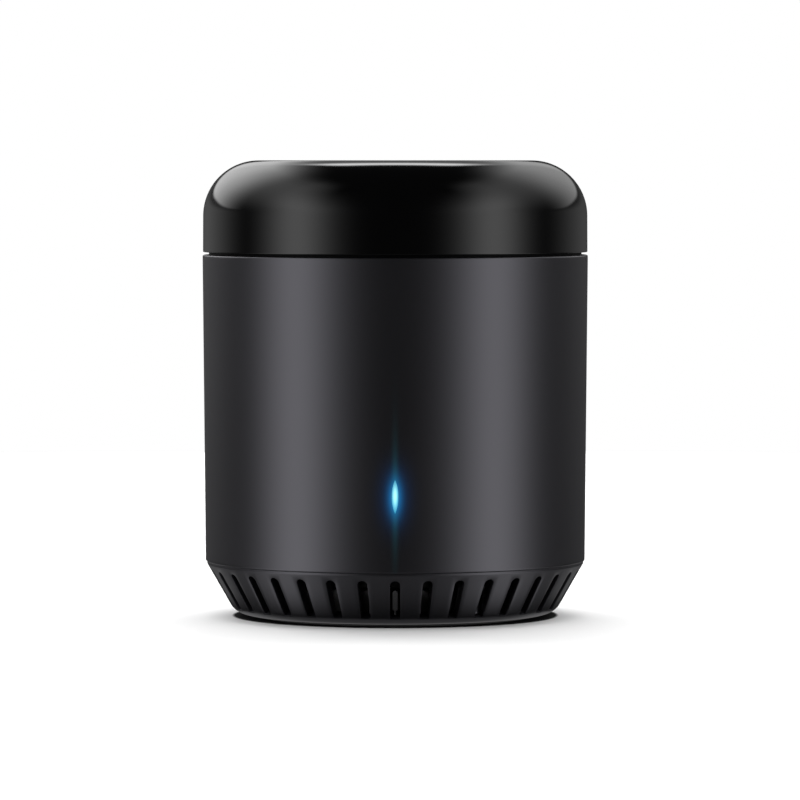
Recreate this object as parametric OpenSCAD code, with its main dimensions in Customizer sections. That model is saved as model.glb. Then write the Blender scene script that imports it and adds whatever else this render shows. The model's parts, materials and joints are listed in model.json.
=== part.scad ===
// Small round infrared remote-control blaster: a domed infrared window on a
// tapered sleeve, over a vented base with a reset key and a power inlet.
// The front is towards -Y, and the origin is the centre of the foot pad's underside.

/* [Case] */
// Outer diameter at the top rim of the sleeve
case_d = 55; // [54:0.5:60]
// Height from the table to the top of the dome
case_h = 65; // [60:0.5:80]
// Clearance between parts that slide together
slip = 0.15; // [0.1:0.05:0.2]
// Radius of the snap beads that hold the case together
bead_r = 0.35; // [0.25:0.05:0.45]

/* [Dome] */
// Height of the dome above its lower edge
dome_h = 13.05; // [12.6:0.05:16]
// Wall of the dome
dome_wall = 2; // [1.6:0.1:2.4]
// Radius of the dome's shoulder
dome_shoulder_r = 7.9; // [7:0.1:8.6]
// How far the dome's side stands in from the sleeve's rim
dome_step = 0.12; // [0.05:0.01:0.3]

/* [Groove under the dome] */
// Height of the groove
groove_h = 0.4; // [0.3:0.05:1]
// Depth of the groove
groove_depth = 0.9; // [0.6:0.05:1.1]

/* [Sleeve] */
// Wall of the sleeve at its foot
sleeve_wall = 1.8; // [1.6:0.1:2.2]
// Radius that the sleeve loses from its rim to its foot
sleeve_taper = 0.4; // [0.2:0.05:0.8]

/* [Vented base] */
// Height of the base's upper edge above the table
base_h = 7.85; // [7.5:0.05:9]
// How far the base slopes in from the sleeve's foot
base_slope_run = 4.3; // [3.8:0.1:4.6]
// Radius between the slope and the underside
base_edge_r = 2.5; // [1.5:0.1:3]
// Wall of the sloping part
base_wall = 1.6; // [1.3:0.1:1.8]
// Thickness of the floor over the foot pad
floor_t = 1.1; // [0.9:0.1:1.3]
// Height of the collar that plugs into the sleeve
collar_h = 4.2; // [3.8:0.1:5.5]
// Wall of the collars
collar_wall = 1.3; // [1.1:0.1:1.5]
// Width of a vent slot
slot_w = 1.4; // [1.2:0.05:1.7]
// Height of the slots' lower ends above the table
slot_foot_z = 1.3; // [1.1:0.05:1.6]
// Distance from the slots' upper ends up to the base's edge
slot_top_margin = 1.1; // [0.9:0.05:1.6]

/* [Foot pad] */
// Diameter of the rubber foot pad
foot_d = 40; // [36:0.5:41]
// Thickness of the foot pad
foot_t = 1; // [0.8:0.05:1.2]
// How far the foot pad stands out below the base
foot_proud = 0.35; // [0.25:0.05:0.5]

/* [Status window] */
// Height of the window's centre above the table
window_z = 18.5; // [17.8:0.1:30]
// Width of the window
window_w = 0.9; // [0.7:0.05:1.4]
// Height of the window
window_h = 4.6; // [3.6:0.1:5.4]

/* [Reset key] */
// Width of the key's nib in its slot
nib_w = 0.8; // [0.6:0.05:0.9]
// Height of the nib
nib_h = 3; // [2.4:0.1:3.2]
// How far the nib's face lies behind the slope
nib_recess = 0.4; // [0.2:0.05:0.8]
// Travel of the key when it is pressed
key_travel = 0.35; // [0.25:0.05:0.45]

/* [Power inlet] */
// Width of the pocket round the inlet
pocket_w = 11.4; // [10.6:0.1:12]
// Height of the pocket
pocket_h = 5.6; // [5.2:0.1:5.8]
// Depth of the pocket at the inlet's centre
pocket_depth = 4.2; // [3.6:0.1:4.4]

/* [Boards] */
// Thickness of both circuit boards
board_t = 1.2; // [1:0.1:1.6]
// Height of the posts under the main board
post_h = 3.6; // [3.5:0.05:3.9]
// Height of the infrared board over the dome's lower edge
ir_board_rise = 1.05; // [0.6:0.05:1.3]

/* [Hidden] */
$fn = 96;

// One overrun serves every cut
cut = 1;
front = 270;
rear = 90;

// Colours
dome_black = [0.02, 0.02, 0.022];
shell_black = [0.09, 0.09, 0.1];
foot_black = [0.04, 0.04, 0.04];
key_grey = [0.2, 0.2, 0.21];
part_black = [0.07, 0.07, 0.075];
board_black = [0.03, 0.035, 0.04];
tin = [0.72, 0.73, 0.74];
gold = [0.83, 0.66, 0.3];
cream = [0.88, 0.86, 0.78];

// Case radii and levels
case_r = case_d / 2;
sleeve_foot_r = case_r - sleeve_taper;
bore_r = sleeve_foot_r - sleeve_wall;
dome_z = case_h - dome_h;
sleeve_top = dome_z - groove_h;
rim_break = 0.2;
collar_r = bore_r - slip;
collar_bore_r = collar_r - collar_wall;
groove_bead_r = bead_r + slip;

// Dome
dome_r = case_r - dome_step;
dome_draft = 0.06;
shoulder_x = dome_r - dome_shoulder_r;
shoulder_z = case_h - dome_shoulder_r;
dome_bore_r = dome_r - dome_wall;

// Neck ring: one collar goes down into the sleeve and one up into the dome
neck_down = 4.5;
neck_up = 3.4;
neck_collar_r = dome_bore_r - slip;
neck_bore_r = min(collar_bore_r, neck_collar_r - collar_wall);
neck_flange_r = case_r - groove_depth;
neck_down_bead_z = sleeve_top - neck_down / 2;
neck_up_bead_z = dome_z + neck_up / 2;
lug_w = 5;
lug_t = 2.4;
lug_angles = [90, 210, 330];

// Base slope
base_foot_r = sleeve_foot_r - base_slope_run;
slope_rise = base_h - foot_proud;
slope_angle = atan(base_slope_run / slope_rise);
wall_run = base_wall / cos(slope_angle);
floor_z = foot_t + floor_t;
base_bead_z = base_h + collar_h / 2;
function slope_r(z) = base_foot_r + (z - foot_proud) * base_slope_run / slope_rise;
function cavity_r(z) = slope_r(z) - wall_run;
function slope_z(r) = foot_proud + (r - base_foot_r) * slope_rise / base_slope_run;
function flat_reach(r, half_w) = sqrt(r * r - half_w * half_w);

// Vent slots, one every step round the base except behind the inlet
slot_step = 10;
slots_left_out = [80, 90, 100];
slot_top_z = base_h - slot_top_margin;
slot_run = (slot_top_z - slot_foot_z) / cos(slope_angle);
slot_past = 0.3;
slot_depth = (slope_r(slot_top_z) - collar_bore_r) / cos(slope_angle) + slot_past;

// Foot pad
foot_r = foot_d / 2;
foot_groove_inset = 2;
foot_groove_w = 0.6;
foot_groove_t = 0.25;

// Main board, which goes in through the base's collar
board_gap = 0.35;
board_z = floor_z + post_h;
board_top = board_z + board_t;
main_board_r = min(collar_bore_r, cavity_r(board_z)) - board_gap;
post_r = 2.4;
post_angles = [60, 180, 300];
post_inset = 0.9;
post_place = main_board_r - post_r - post_inset;
pilot_r = 0.85;
pilot_floor = 0.5;
board_hole_r = 1.15;

// Screws that cut their own thread
screw_slack = 0.05;
screw_r = pilot_r - screw_slack;
screw_head_r = 1.9;
screw_head_h = 1.2;
screw_below = 2.3;
screw_tip = 0.6;
cross_w = 0.45;
cross_l = 2.1;
cross_t = 0.7;

// Power inlet, a five-contact micro receptacle under the main board
usb_w = 7.5;
usb_h = 2.5;
usb_l = 5.4;
usb_skin = 0.3;
usb_bevel = 0.8;
usb_proud = 0.2;
usb_slack = 0.25;
tongue_w = 3.7;
tongue_t = 0.65;
tongue_back = 1.2;
tongue_short = 0.6;
tongue_lift = 0.25;
contact_w = 0.32;
contact_t = 0.1;
contact_pitch = 0.65;
contacts = 5;
contact_short = 0.4;
pocket_skin = 1;
usb_z = board_z - usb_h;
inlet_z = board_z - usb_h / 2;
pocket_y = slope_r(inlet_z) - pocket_depth;
pocket_foot_z = inlet_z - pocket_h / 2;
usb_mouth_y = pocket_y + usb_proud;
notch_w = pocket_w + 2 * pocket_skin + 2 * board_gap;
notch_y = pocket_y - pocket_skin - board_gap;

// Reset key: a plate behind the wall with a nib in the front slot
key_w = 5.2;
key_t = 0.8;
key_gap = 0.2;
key_floor_gap = 0.25;
key_foot_z = floor_z + key_floor_gap;
key_h = post_h - 2 * key_floor_gap;
key_face = flat_reach(cavity_r(key_foot_z) - key_gap, key_w / 2);
key_back = key_face - key_t;
nib_foot_z = key_foot_z + (key_h - nib_h) / 2;
fin_w = 0.24;
fin_depth = 1;
guide_t = 0.8;
guide_h = 1.5;
guide_back = 0.5;

// Reset switch, a side-acting tactile switch under the main board
stem_w = 2.8;
stem_h = 1.4;
stem_out = 1;
stem_in = 1;
stem_slack = 0.1;
switch_w = 6;
switch_h = 3.3;
switch_l = 3.4;
cover_t = 0.2;
cover_rim = 0.5;
switch_face = key_back - stem_out;
stem_z = board_z - switch_h / 2;

// Status light pipe
pipe_w = 2.2;
pipe_t = 1.8;
pipe_gap = 0.3;
pipe_over = 0.9;
pipe_clear = 0.05;
led_size = [2, 1.25, 0.8];
led_inset = 1.3;
led_y = main_board_r - led_inset;
pipe_outer = bore_r - pipe_gap;
pipe_foot_z = board_top + led_size.z + pipe_gap;
pipe_bend_z = base_h + collar_h + pipe_gap;
pipe_bend = pipe_outer - (led_y + pipe_t / 2);
pipe_top_z = window_z + window_h / 2 + pipe_over;
rib_t = 0.7;
rib_depth = 1.6;
rib_sink = 0.3;

// Infrared board
ir_board_r = neck_bore_r - board_gap;
ir_board_z = dome_z + ir_board_rise;
ir_board_top = ir_board_z + board_t;
ir_screw_inset = 0.8;
ir_screw_place = ir_board_r - screw_head_r - ir_screw_inset;

// Emitters: five-millimetre lamps that lie flat and look outwards
emitter_angles = [0, 60, 120, 180, 240, 300];
emitter_r = 2.5;
emitter_flange_r = 2.9;
emitter_flange_t = 1;
emitter_l = 8.6;
emitter_lift = 0.4;
emitter_tip_gap = 2.1;
emitter_base = dome_bore_r - emitter_tip_gap - emitter_l;
emitter_z = ir_board_top + emitter_lift + emitter_flange_r;
lead_t = 0.5;
lead_pitch = 2.54;
lead_run = 2;
lead_below = 0.8;
lead_hole_r = 0.45;
solder_r = 0.8;
solder_h = 0.6;
lead_place = emitter_base - lead_run;
top_r = 1.5;
top_flange_r = 1.9;
top_l = 5.3;

// Infrared receiver, upright at the front of the infrared board
receiver_size = [6, 3, 6.8];
receiver_lift = 0.5;
receiver_bulge_r = 2.3;
receiver_bulge = 1.4;
receiver_inset = 6.2;
receiver_y = ir_board_r - receiver_inset;
receiver_lens_z = 4;

// Parts on the main board. A place is a share of the board's radius
part_gap = 0.6;
wifi_size = [24, 16, 0.8];
wifi_place_share = [0.36, 0];
antenna_w = 0.6;
antenna_t = 0.1;
antenna_turns = 6;
antenna_edge = 0.8;
antenna_l = 5.4;
shield_h = 2.2;
shield_skin = 0.25;
shield_inset = 1.2;
shield_size = [
    wifi_size.x - antenna_l - 2 * antenna_edge - 2 * shield_inset,
    wifi_size.y - 2 * shield_inset,
    shield_h,
];
memory_size = [5, 3.9, 1.5];
memory_place_share = [-0.47, 0.595];
memory_pitch = 1.27;
chip_lead = [0.42, 1.05, 0.2];
regulator_size = [6.5, 3.5, 1.6];
regulator_lead = [0.75, 1.7, 0.25];
regulator_x_share = -0.15;
regulator_reach = regulator_size.y / 2 + regulator_lead.y;
regulator_tab_w = 3;
regulator_pitch = 2.3;
inductor_size = [6, 6, 2.8];
inductor_place_share = [-0.5, -0.38];
inductor_core_r = 2.3;
inductor_bevel = 1.2;
inductor_dish = 0.3;
pad_t = 0.2;
pad_w = 1.4;
can_r = 3.15;
can_h = 4.6;
can_base_size = [6.6, 6.6, 1];
can_place_share = [-0.565, 0.25];
can_crimp = 0.25;

// Small parts in rows beside the radio board, placed along it by shares of its length
ceramic_size = [2, 1.25, 0.9];
ceramic_place_shares = [-0.2, -0.08, 0.04, 0.16, 0.28];
resistor_size = [1.6, 0.8, 0.45];
resistor_place_shares = [0, 0.1, 0.2, 0.3];

// Parts on the infrared board. A place is an angle and a share of the board's radius
transistor_size = [2.9, 1.3, 1];
transistor_lead = [0.4, 0.6, 0.15];
transistor_pitch = 1.9;
transistor_angles = [30, 150, 270];
transistor_place_share = 0.24;
emitter_resistor_size = [2, 1.25, 0.5];
emitter_resistor_place_share = 0.36;

// Board-to-board link: headers, plugs and five wires
link_y_share = 0.58;
link_y = main_board_r * link_y_share;
header_size = [8.2, 4, 2.6];
header_skin = 0.6;
header_floor = 0.6;
plug_gap = 0.1;
plug_out = 1.6;
wires = 5;
wire_r = 0.42;
wire_pitch = 1.25;
wire_bow = 3;
plug_size = [
    header_size.x - 2 * header_skin - 2 * plug_gap,
    header_size.y - 2 * header_skin - 2 * plug_gap,
    header_size.z - header_floor + plug_out,
];
lower_plug_z = board_top + header_floor;
upper_plug_z = ir_board_z - header_floor;
wire_foot_z = lower_plug_z + plug_size.z;
wire_l = upper_plug_z - plug_size.z - wire_foot_z;
wire_arc_r = (pow(wire_l / 2, 2) + pow(wire_bow, 2)) / (2 * wire_bow);

// A block that stands on its own origin, centred across it
module block(size) {
    translate([-size.x / 2, -size.y / 2, 0]) cube(size);
}

module round_at(angle, r) {
    rotate([0, 0, angle]) translate([r, 0, 0]) children();
}

// A place in the main board's plane, given as shares of the board's radius
module on_main_board(share) {
    translate([share.x * main_board_r, share.y * main_board_r, board_top]) children();
}

// The cross-section of a snap bead, at a radius and a height
module bead_section(r, z, size) {
    translate([r, z]) circle(size);
}

module dome_section() {
    difference() {
        union() {
            polygon([
                [0, dome_z], [dome_r + dome_draft, dome_z],
                [dome_r, shoulder_z], [0, shoulder_z],
            ]);
            translate([0, shoulder_z]) square([shoulder_x, dome_shoulder_r]);
            intersection() {
                translate([shoulder_x, shoulder_z]) circle(dome_shoulder_r);
                translate([shoulder_x, shoulder_z]) square(dome_shoulder_r);
            }
        }
        translate([0, dome_z - cut]) square([dome_bore_r, shoulder_z - dome_z + cut]);
        translate([0, shoulder_z]) square([shoulder_x, dome_shoulder_r - dome_wall]);
        intersection() {
            translate([shoulder_x, shoulder_z]) circle(dome_shoulder_r - dome_wall);
            translate([shoulder_x, shoulder_z]) square(dome_shoulder_r);
        }
        bead_section(dome_bore_r, neck_up_bead_z, groove_bead_r);
    }
}

// The glossy cap that lets infrared through and looks black
module ir_dome() {
    color(dome_black) rotate_extrude() dome_section();
}

// Carries the infrared board, and joins the dome to the sleeve
module neck_ring() {
    color(part_black) difference() {
        union() {
            rotate_extrude() {
                polygon([
                    [neck_bore_r, sleeve_top - neck_down], [collar_r, sleeve_top - neck_down],
                    [collar_r, sleeve_top], [neck_flange_r, sleeve_top],
                    [neck_flange_r, dome_z], [neck_collar_r, dome_z],
                    [neck_collar_r, dome_z + neck_up], [neck_bore_r, dome_z + neck_up],
                ]);
                bead_section(collar_r, neck_down_bead_z, bead_r);
                bead_section(neck_collar_r, neck_up_bead_z, bead_r);
            }
            for (a = lug_angles) {
                intersection() {
                    rotate([0, 0, a])
                        translate([ir_screw_place - lug_w / 2, -lug_w / 2, ir_board_z - lug_t])
                            cube([neck_collar_r, lug_w, lug_t]);
                    cylinder(r = (neck_bore_r + neck_collar_r) / 2, h = case_h);
                }
            }
        }
        for (a = lug_angles) {
            round_at(a, ir_screw_place)
                translate([0, 0, ir_board_z - lug_t - cut]) cylinder(r = pilot_r, h = lug_t + 2 * cut);
        }
    }
}

// The window's outline: two arcs that meet in a point at each end
module spindle(w, h) {
    arc_r = (h * h + w * w) / (4 * w);
    intersection() {
        translate([arc_r - w / 2, 0]) circle(arc_r);
        translate([w / 2 - arc_r, 0]) circle(arc_r);
    }
}

// A bar through the front of the sleeve with the window's outline
module window_bar(w, h, from_y, to_y) {
    translate([0, -from_y, window_z]) rotate([90, 0, 0])
        linear_extrude(to_y - from_y) spindle(w, h);
}

module sleeve_outside() {
    rotate_extrude() polygon([
        [0, base_h], [sleeve_foot_r - rim_break, base_h], [sleeve_foot_r, base_h + rim_break],
        [case_r, sleeve_top - rim_break], [case_r - rim_break, sleeve_top], [0, sleeve_top],
    ]);
}

// The satin tube
module body_sleeve() {
    rib_x = pipe_w / 2 + slip;
    rib_foot_z = pipe_bend_z + pipe_bend;
    color(shell_black) difference() {
        union() {
            difference() {
                sleeve_outside();
                cylinder(r = bore_r, h = case_h);
                rotate_extrude() bead_section(bore_r, base_bead_z, groove_bead_r);
                rotate_extrude() bead_section(bore_r, neck_down_bead_z, groove_bead_r);
            }
            for (side = [0, 1]) mirror([side, 0, 0])
                translate([rib_x, -bore_r - rib_sink, rib_foot_z])
                    cube([rib_t, rib_depth + rib_sink, pipe_top_z - rib_foot_z]);
        }
        window_bar(window_w + 2 * pipe_clear, window_h + 2 * pipe_clear, bore_r - rib_depth, case_r + cut);
    }
}

// Brings the status lamp's light up to the window
module light_pipe() {
    foot_in = led_y - pipe_t / 2;
    foot_out = led_y + pipe_t / 2;
    column_in = pipe_outer - pipe_t;
    column_z = pipe_bend_z + pipe_bend;
    color([0.55, 0.85, 0.95]) union() {
        translate([-pipe_w / 2, 0, 0]) rotate([90, 0, 90]) linear_extrude(pipe_w) polygon([
            [-foot_in, pipe_foot_z], [-foot_out, pipe_foot_z], [-foot_out, pipe_bend_z],
            [-pipe_outer, column_z], [-pipe_outer, pipe_top_z], [-column_in, pipe_top_z],
            [-column_in, column_z], [-foot_in, pipe_bend_z],
        ]);
        intersection() {
            window_bar(window_w, window_h, column_in + pipe_t / 2, case_r + cut);
            sleeve_outside();
        }
    }
}

// The base's outline: the slope, its round lower edge and the collar
module base_outline() {
    turn = 90 - slope_angle;
    edge_x = base_foot_r - base_edge_r * tan(turn / 2);
    edge_z = foot_proud + base_edge_r;
    lip_r = sleeve_foot_r - rim_break;
    polygon([
        [0, foot_proud], [edge_x, foot_proud],
        [edge_x + base_edge_r * sin(turn), edge_z - base_edge_r * cos(turn)],
        [lip_r, slope_z(lip_r)], [lip_r, base_h], [collar_r, base_h],
        [collar_r, base_h + collar_h], [0, base_h + collar_h],
    ]);
    translate([edge_x, edge_z]) circle(base_edge_r);
}

module base_section() {
    difference() {
        union() {
            base_outline();
            bead_section(collar_r, base_bead_z, bead_r);
        }
        polygon([
            [0, floor_z], [cavity_r(floor_z), floor_z],
            [collar_bore_r, slope_z(collar_bore_r + wall_run)],
            [collar_bore_r, base_h + collar_h + cut], [0, base_h + collar_h + cut],
        ]);
    }
}

// Lies along the slope, with z = 0 at the slots' lower ends and x = 0 on the slope's face
module along_slope() {
    translate([slope_r(slot_foot_z), 0, slot_foot_z]) rotate([0, slope_angle, 0]) children();
}

// One slot through the slope, round at its upper end
module vent_slot() {
    along_slope() translate([-slot_depth, 0, 0]) {
        translate([0, -slot_w / 2, 0]) cube([slot_depth + cut, slot_w, slot_run - slot_w / 2]);
        translate([0, 0, slot_run - slot_w / 2]) rotate([0, 90, 0])
            cylinder(r = slot_w / 2, h = slot_depth + cut);
    }
}

module inlet_pocket(grow, from_y) {
    translate([-pocket_w / 2 - grow, from_y, pocket_foot_z - grow])
        cube([pocket_w + 2 * grow, case_r, pocket_h + 2 * grow]);
}

// The sloping, slotted cup that the device stands on
module vent_base() {
    guide_x = key_w / 2 + key_gap;
    guide_reach = cavity_r(floor_z) + wall_run / 2;
    color(shell_black) difference() {
        union() {
            difference() {
                rotate_extrude() base_section();
                for (a = [0 : slot_step : 360 - slot_step]) {
                    if (len(search(a, slots_left_out)) == 0) rotate([0, 0, a]) vent_slot();
                }
            }
            for (a = post_angles) round_at(a, post_place)
                translate([0, 0, floor_z - floor_t / 2]) cylinder(r = post_r, h = post_h + floor_t / 2);
            for (side = [0, 1]) mirror([side, 0, 0])
                translate([guide_x, -guide_reach, floor_z - floor_t / 2])
                    cube([guide_t, guide_reach - key_back + guide_back, guide_h + floor_t / 2]);
            intersection() {
                inlet_pocket(pocket_skin, pocket_y - pocket_skin);
                rotate_extrude() base_outline();
            }
        }
        for (a = post_angles) round_at(a, post_place)
            translate([0, 0, floor_z + pilot_floor]) cylinder(r = pilot_r, h = post_h + cut);
        inlet_pocket(0, pocket_y);
        translate([-usb_w / 2 - usb_slack, pocket_y - pocket_skin - cut, usb_z - usb_slack])
            cube([usb_w + 2 * usb_slack, pocket_skin + 2 * cut, usb_h + 2 * usb_slack]);
        translate([0, 0, foot_proud - cut]) cylinder(r = foot_r + slip, h = foot_t - foot_proud + cut);
    }
}

// The rubber pad that the device rests on
module foot_pad() {
    groove_r = foot_r - foot_groove_inset;
    color(foot_black) difference() {
        cylinder(r = foot_r, h = foot_t);
        translate([0, 0, -cut]) difference() {
            cylinder(r = groove_r, h = cut + foot_groove_t);
            cylinder(r = groove_r - foot_groove_w, h = cut + foot_groove_t);
        }
    }
}

// The space that the key's nib may fill: a cone set back from the slope
module nib_limit() {
    set_back = nib_recess / cos(slope_angle);
    rotate_extrude() polygon([
        [0, foot_proud], [slope_r(foot_proud) - set_back, foot_proud],
        [slope_r(base_h) - set_back, base_h], [0, base_h],
    ]);
}

// The key that a pin or a fingernail presses through the front slot
module reset_key() {
    nib_arm = case_r - key_face + key_t / 2;
    fin_foot = key_travel * sin(slope_angle) + slip;
    fin_l = (nib_foot_z + nib_w / 2 - slot_foot_z) / cos(slope_angle) - fin_foot;
    color(key_grey) union() {
        translate([-key_w / 2, -key_face, key_foot_z]) cube([key_w, key_t, key_h]);
        intersection() {
            nib_limit();
            translate([0, -key_face + key_t / 2, 0]) rotate([90, 0, 0]) linear_extrude(nib_arm) {
                translate([0, nib_foot_z + nib_w / 2]) circle(nib_w / 2);
                translate([0, nib_foot_z + nib_h - nib_w / 2]) circle(nib_w / 2);
                translate([-nib_w / 2, nib_foot_z + nib_w / 2]) square([nib_w, nib_h - nib_w]);
            }
        }
        intersection() {
            nib_limit();
            rotate([0, 0, front]) along_slope() translate([-fin_depth, -fin_w / 2, fin_foot])
                cube([fin_depth, fin_w, fin_l]);
        }
    }
}

module reset_switch_stem() {
    color([0.1, 0.1, 0.1]) translate([-stem_w / 2, -key_back, stem_z - stem_h / 2])
        cube([stem_w, stem_out + stem_in, stem_h]);
}

// A hole round the stem, as deep as the stem and its travel need
module stem_hole(depth) {
    translate([-stem_w / 2 - stem_slack, -switch_face - cut, stem_z - stem_h / 2 - stem_slack])
        cube([stem_w + 2 * stem_slack, depth + cut, stem_h + 2 * stem_slack]);
}

module reset_switch_case() {
    color([0.05, 0.05, 0.05]) difference() {
        translate([-switch_w / 2, -switch_face, board_z - switch_h]) cube([switch_w, switch_l, switch_h]);
        stem_hole(stem_in + key_travel + stem_slack);
    }
}

// The switch's metal frame, a plate across the front with an arm along each side
module reset_switch_cover() {
    color(tin) difference() {
        translate([-switch_w / 2 - cover_t, -switch_face - cover_t, board_z - switch_h + cover_rim])
            cube([switch_w + 2 * cover_t, switch_l / 2 + cover_t, switch_h - cover_rim]);
        translate([-switch_w / 2, -switch_face, board_z - switch_h])
            cube([switch_w, switch_l, switch_h + cut]);
        stem_hole(switch_l);
    }
}

// The inlet's outline with its two bevelled corners towards the board
module inlet_outline(inset) {
    w = usb_w / 2 - inset;
    top = usb_h / 2 - inset;
    bevel = usb_bevel - inset / 2;
    polygon([[-w, -top], [w, -top], [w, top - bevel], [w - bevel, top], [bevel - w, top], [-w, top - bevel]]);
}

module usb_shell() {
    color(tin) translate([0, usb_mouth_y, inlet_z]) rotate([90, 0, 0]) difference() {
        linear_extrude(usb_l) inlet_outline(0);
        translate([0, 0, -cut]) linear_extrude(usb_l - usb_skin + cut) inlet_outline(usb_skin);
    }
}

module usb_tongue() {
    block_y = usb_mouth_y - usb_l + usb_skin;
    tongue_z = inlet_z + tongue_lift - tongue_t / 2;
    color([0.03, 0.03, 0.03]) union() {
        translate([0, block_y + tongue_back, inlet_z]) rotate([90, 0, 0])
            linear_extrude(tongue_back) inlet_outline(usb_skin);
        translate([-tongue_w / 2, block_y, tongue_z])
            cube([tongue_w, usb_l - usb_skin - tongue_short, tongue_t]);
    }
}

module usb_contacts() {
    block_y = usb_mouth_y - usb_l + usb_skin;
    foot_z = inlet_z + tongue_lift - tongue_t / 2 - contact_t;
    color(gold) for (i = [0 : contacts - 1]) {
        translate([(i - (contacts - 1) / 2) * contact_pitch - contact_w / 2, block_y + tongue_back, foot_z])
            cube([contact_w, usb_l - usb_skin - tongue_back - tongue_short - contact_short, contact_t]);
    }
}

module main_board() {
    color(board_black) difference() {
        translate([0, 0, board_z]) cylinder(r = main_board_r, h = board_t);
        translate([-notch_w / 2, notch_y, board_z - cut]) cube([notch_w, case_r, board_t + 2 * cut]);
        for (a = post_angles) round_at(a, post_place)
            translate([0, 0, board_z - cut]) cylinder(r = board_hole_r, h = board_t + 2 * cut);
    }
}

// A pan-head screw with a cross recess; z = 0 is under its head
module screw() {
    difference() {
        rotate_extrude() polygon([
            [0, -board_t - screw_below], [screw_r / 2, -board_t - screw_below],
            [screw_r, -board_t - screw_below + screw_tip], [screw_r, 0], [screw_head_r, 0],
            [screw_head_r, screw_head_h * 0.45], [screw_head_r * 0.72, screw_head_h], [0, screw_head_h],
        ]);
        for (turn = [0, 90]) rotate([0, 0, turn])
            translate([-cross_l / 2, -cross_w / 2, screw_head_h - cross_t])
                cube([cross_l, cross_w, cross_t + cut]);
    }
}

module main_board_screws() {
    color(tin) for (a = post_angles) round_at(a, post_place) translate([0, 0, board_top]) screw();
}

module on_wifi_board() {
    on_main_board(wifi_place_share) translate([0, 0, wifi_size.z]) children();
}

module wifi_board() {
    color([0.02, 0.1, 0.2]) on_main_board(wifi_place_share) block(wifi_size);
}

// The tinned can over the radio, open below
module wifi_shield() {
    color(tin) on_wifi_board()
        translate([-wifi_size.x / 2 + shield_inset + shield_size.x / 2, 0, 0]) difference() {
            block(shield_size);
            translate([0, 0, -cut]) block([
                shield_size.x - 2 * shield_skin, shield_size.y - 2 * shield_skin,
                shield_size.z - shield_skin + cut,
            ]);
        }
}

// The printed antenna, one folded track at the board's outer end
module wifi_antenna() {
    span = wifi_size.y - 2 * antenna_edge - antenna_w;
    step = span / antenna_turns;
    x0 = wifi_size.x / 2 - antenna_edge - antenna_l;
    color(gold) on_wifi_board() union() {
        for (i = [0 : antenna_turns]) {
            translate([x0, -span / 2 + i * step - antenna_w / 2, 0]) cube([antenna_l, antenna_w, antenna_t]);
        }
        for (i = [0 : antenna_turns - 1]) {
            translate([i % 2 == 0 ? x0 + antenna_l - antenna_w : x0, -span / 2 + i * step, 0])
                cube([antenna_w, step, antenna_t]);
        }
    }
}

module memory_chip() {
    color([0.06, 0.06, 0.06]) on_main_board(memory_place_share)
        translate([0, 0, chip_lead.z]) block(memory_size);
}

module memory_chip_leads() {
    color(tin) on_main_board(memory_place_share) {
        for (side = [-1, 1]) for (i = [0 : 3]) {
            translate([(i - 1.5) * memory_pitch, side * (memory_size.y + chip_lead.y) / 2, 0]) {
                block(chip_lead);
                translate([0, -side * (chip_lead.y - chip_lead.z) / 2, 0])
                    block([chip_lead.x, chip_lead.z, chip_lead.z + memory_size.z / 2]);
            }
        }
    }
}

// Beside the radio board, so that its tab clears that board's edge
module at_regulator() {
    y = wifi_place_share.y * main_board_r - wifi_size.y / 2 - part_gap - regulator_reach;
    translate([regulator_x_share * main_board_r, y, board_top]) children();
}

module voltage_regulator() {
    color([0.06, 0.06, 0.06]) at_regulator() translate([0, 0, regulator_lead.z]) block(regulator_size);
}

module regulator_leads() {
    reach = (regulator_size.y + regulator_lead.y) / 2;
    color(tin) at_regulator() {
        for (i = [-1 : 1]) translate([i * regulator_pitch, -reach, 0]) block(regulator_lead);
        translate([0, reach, 0]) block([regulator_tab_w, regulator_lead.y, regulator_lead.z]);
        block([regulator_tab_w, regulator_size.y, regulator_lead.z]);
    }
}

module power_inductor() {
    w = inductor_size.x / 2;
    d = inductor_size.y / 2;
    b = inductor_bevel;
    color([0.16, 0.16, 0.17]) on_main_board(inductor_place_share) translate([0, 0, pad_t]) difference() {
        linear_extrude(inductor_size.z) polygon([
            [-w + b, -d], [w - b, -d], [w, -d + b], [w, d - b],
            [w - b, d], [-w + b, d], [-w, d - b], [-w, -d + b],
        ]);
        translate([0, 0, inductor_size.z - inductor_dish]) cylinder(r = inductor_core_r, h = inductor_dish + cut);
    }
}

module inductor_pads() {
    color(tin) on_main_board(inductor_place_share) {
        for (side = [-1, 1]) translate([side * (inductor_size.x - pad_w) / 2, 0, 0])
            block([pad_w, inductor_size.y / 2, pad_t]);
    }
}

module capacitor_base() {
    color([0.05, 0.05, 0.05]) on_main_board(can_place_share) block(can_base_size);
}

// The aluminium can, with the groove that holds its seal
module capacitor_can() {
    color([0.8, 0.81, 0.82]) on_main_board(can_place_share) translate([0, 0, can_base_size.z])
        rotate_extrude() polygon([
            [0, 0], [can_r, 0], [can_r, can_crimp], [can_r - can_crimp, 2 * can_crimp],
            [can_r, 3 * can_crimp], [can_r, can_h - can_crimp], [can_r - can_crimp, can_h], [0, can_h],
        ]);
}

// A place beside the radio board: along it by a share of its length, and clear of its edge
module beside_wifi_board(along_share, side, width) {
    on_main_board(wifi_place_share)
        translate([along_share * wifi_size.x, side * (wifi_size.y / 2 + part_gap + width / 2), 0])
            children();
}

module ceramic_capacitors() {
    color([0.66, 0.54, 0.4]) for (p = ceramic_place_shares)
        beside_wifi_board(p, -1, ceramic_size.y) block(ceramic_size);
}

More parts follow.
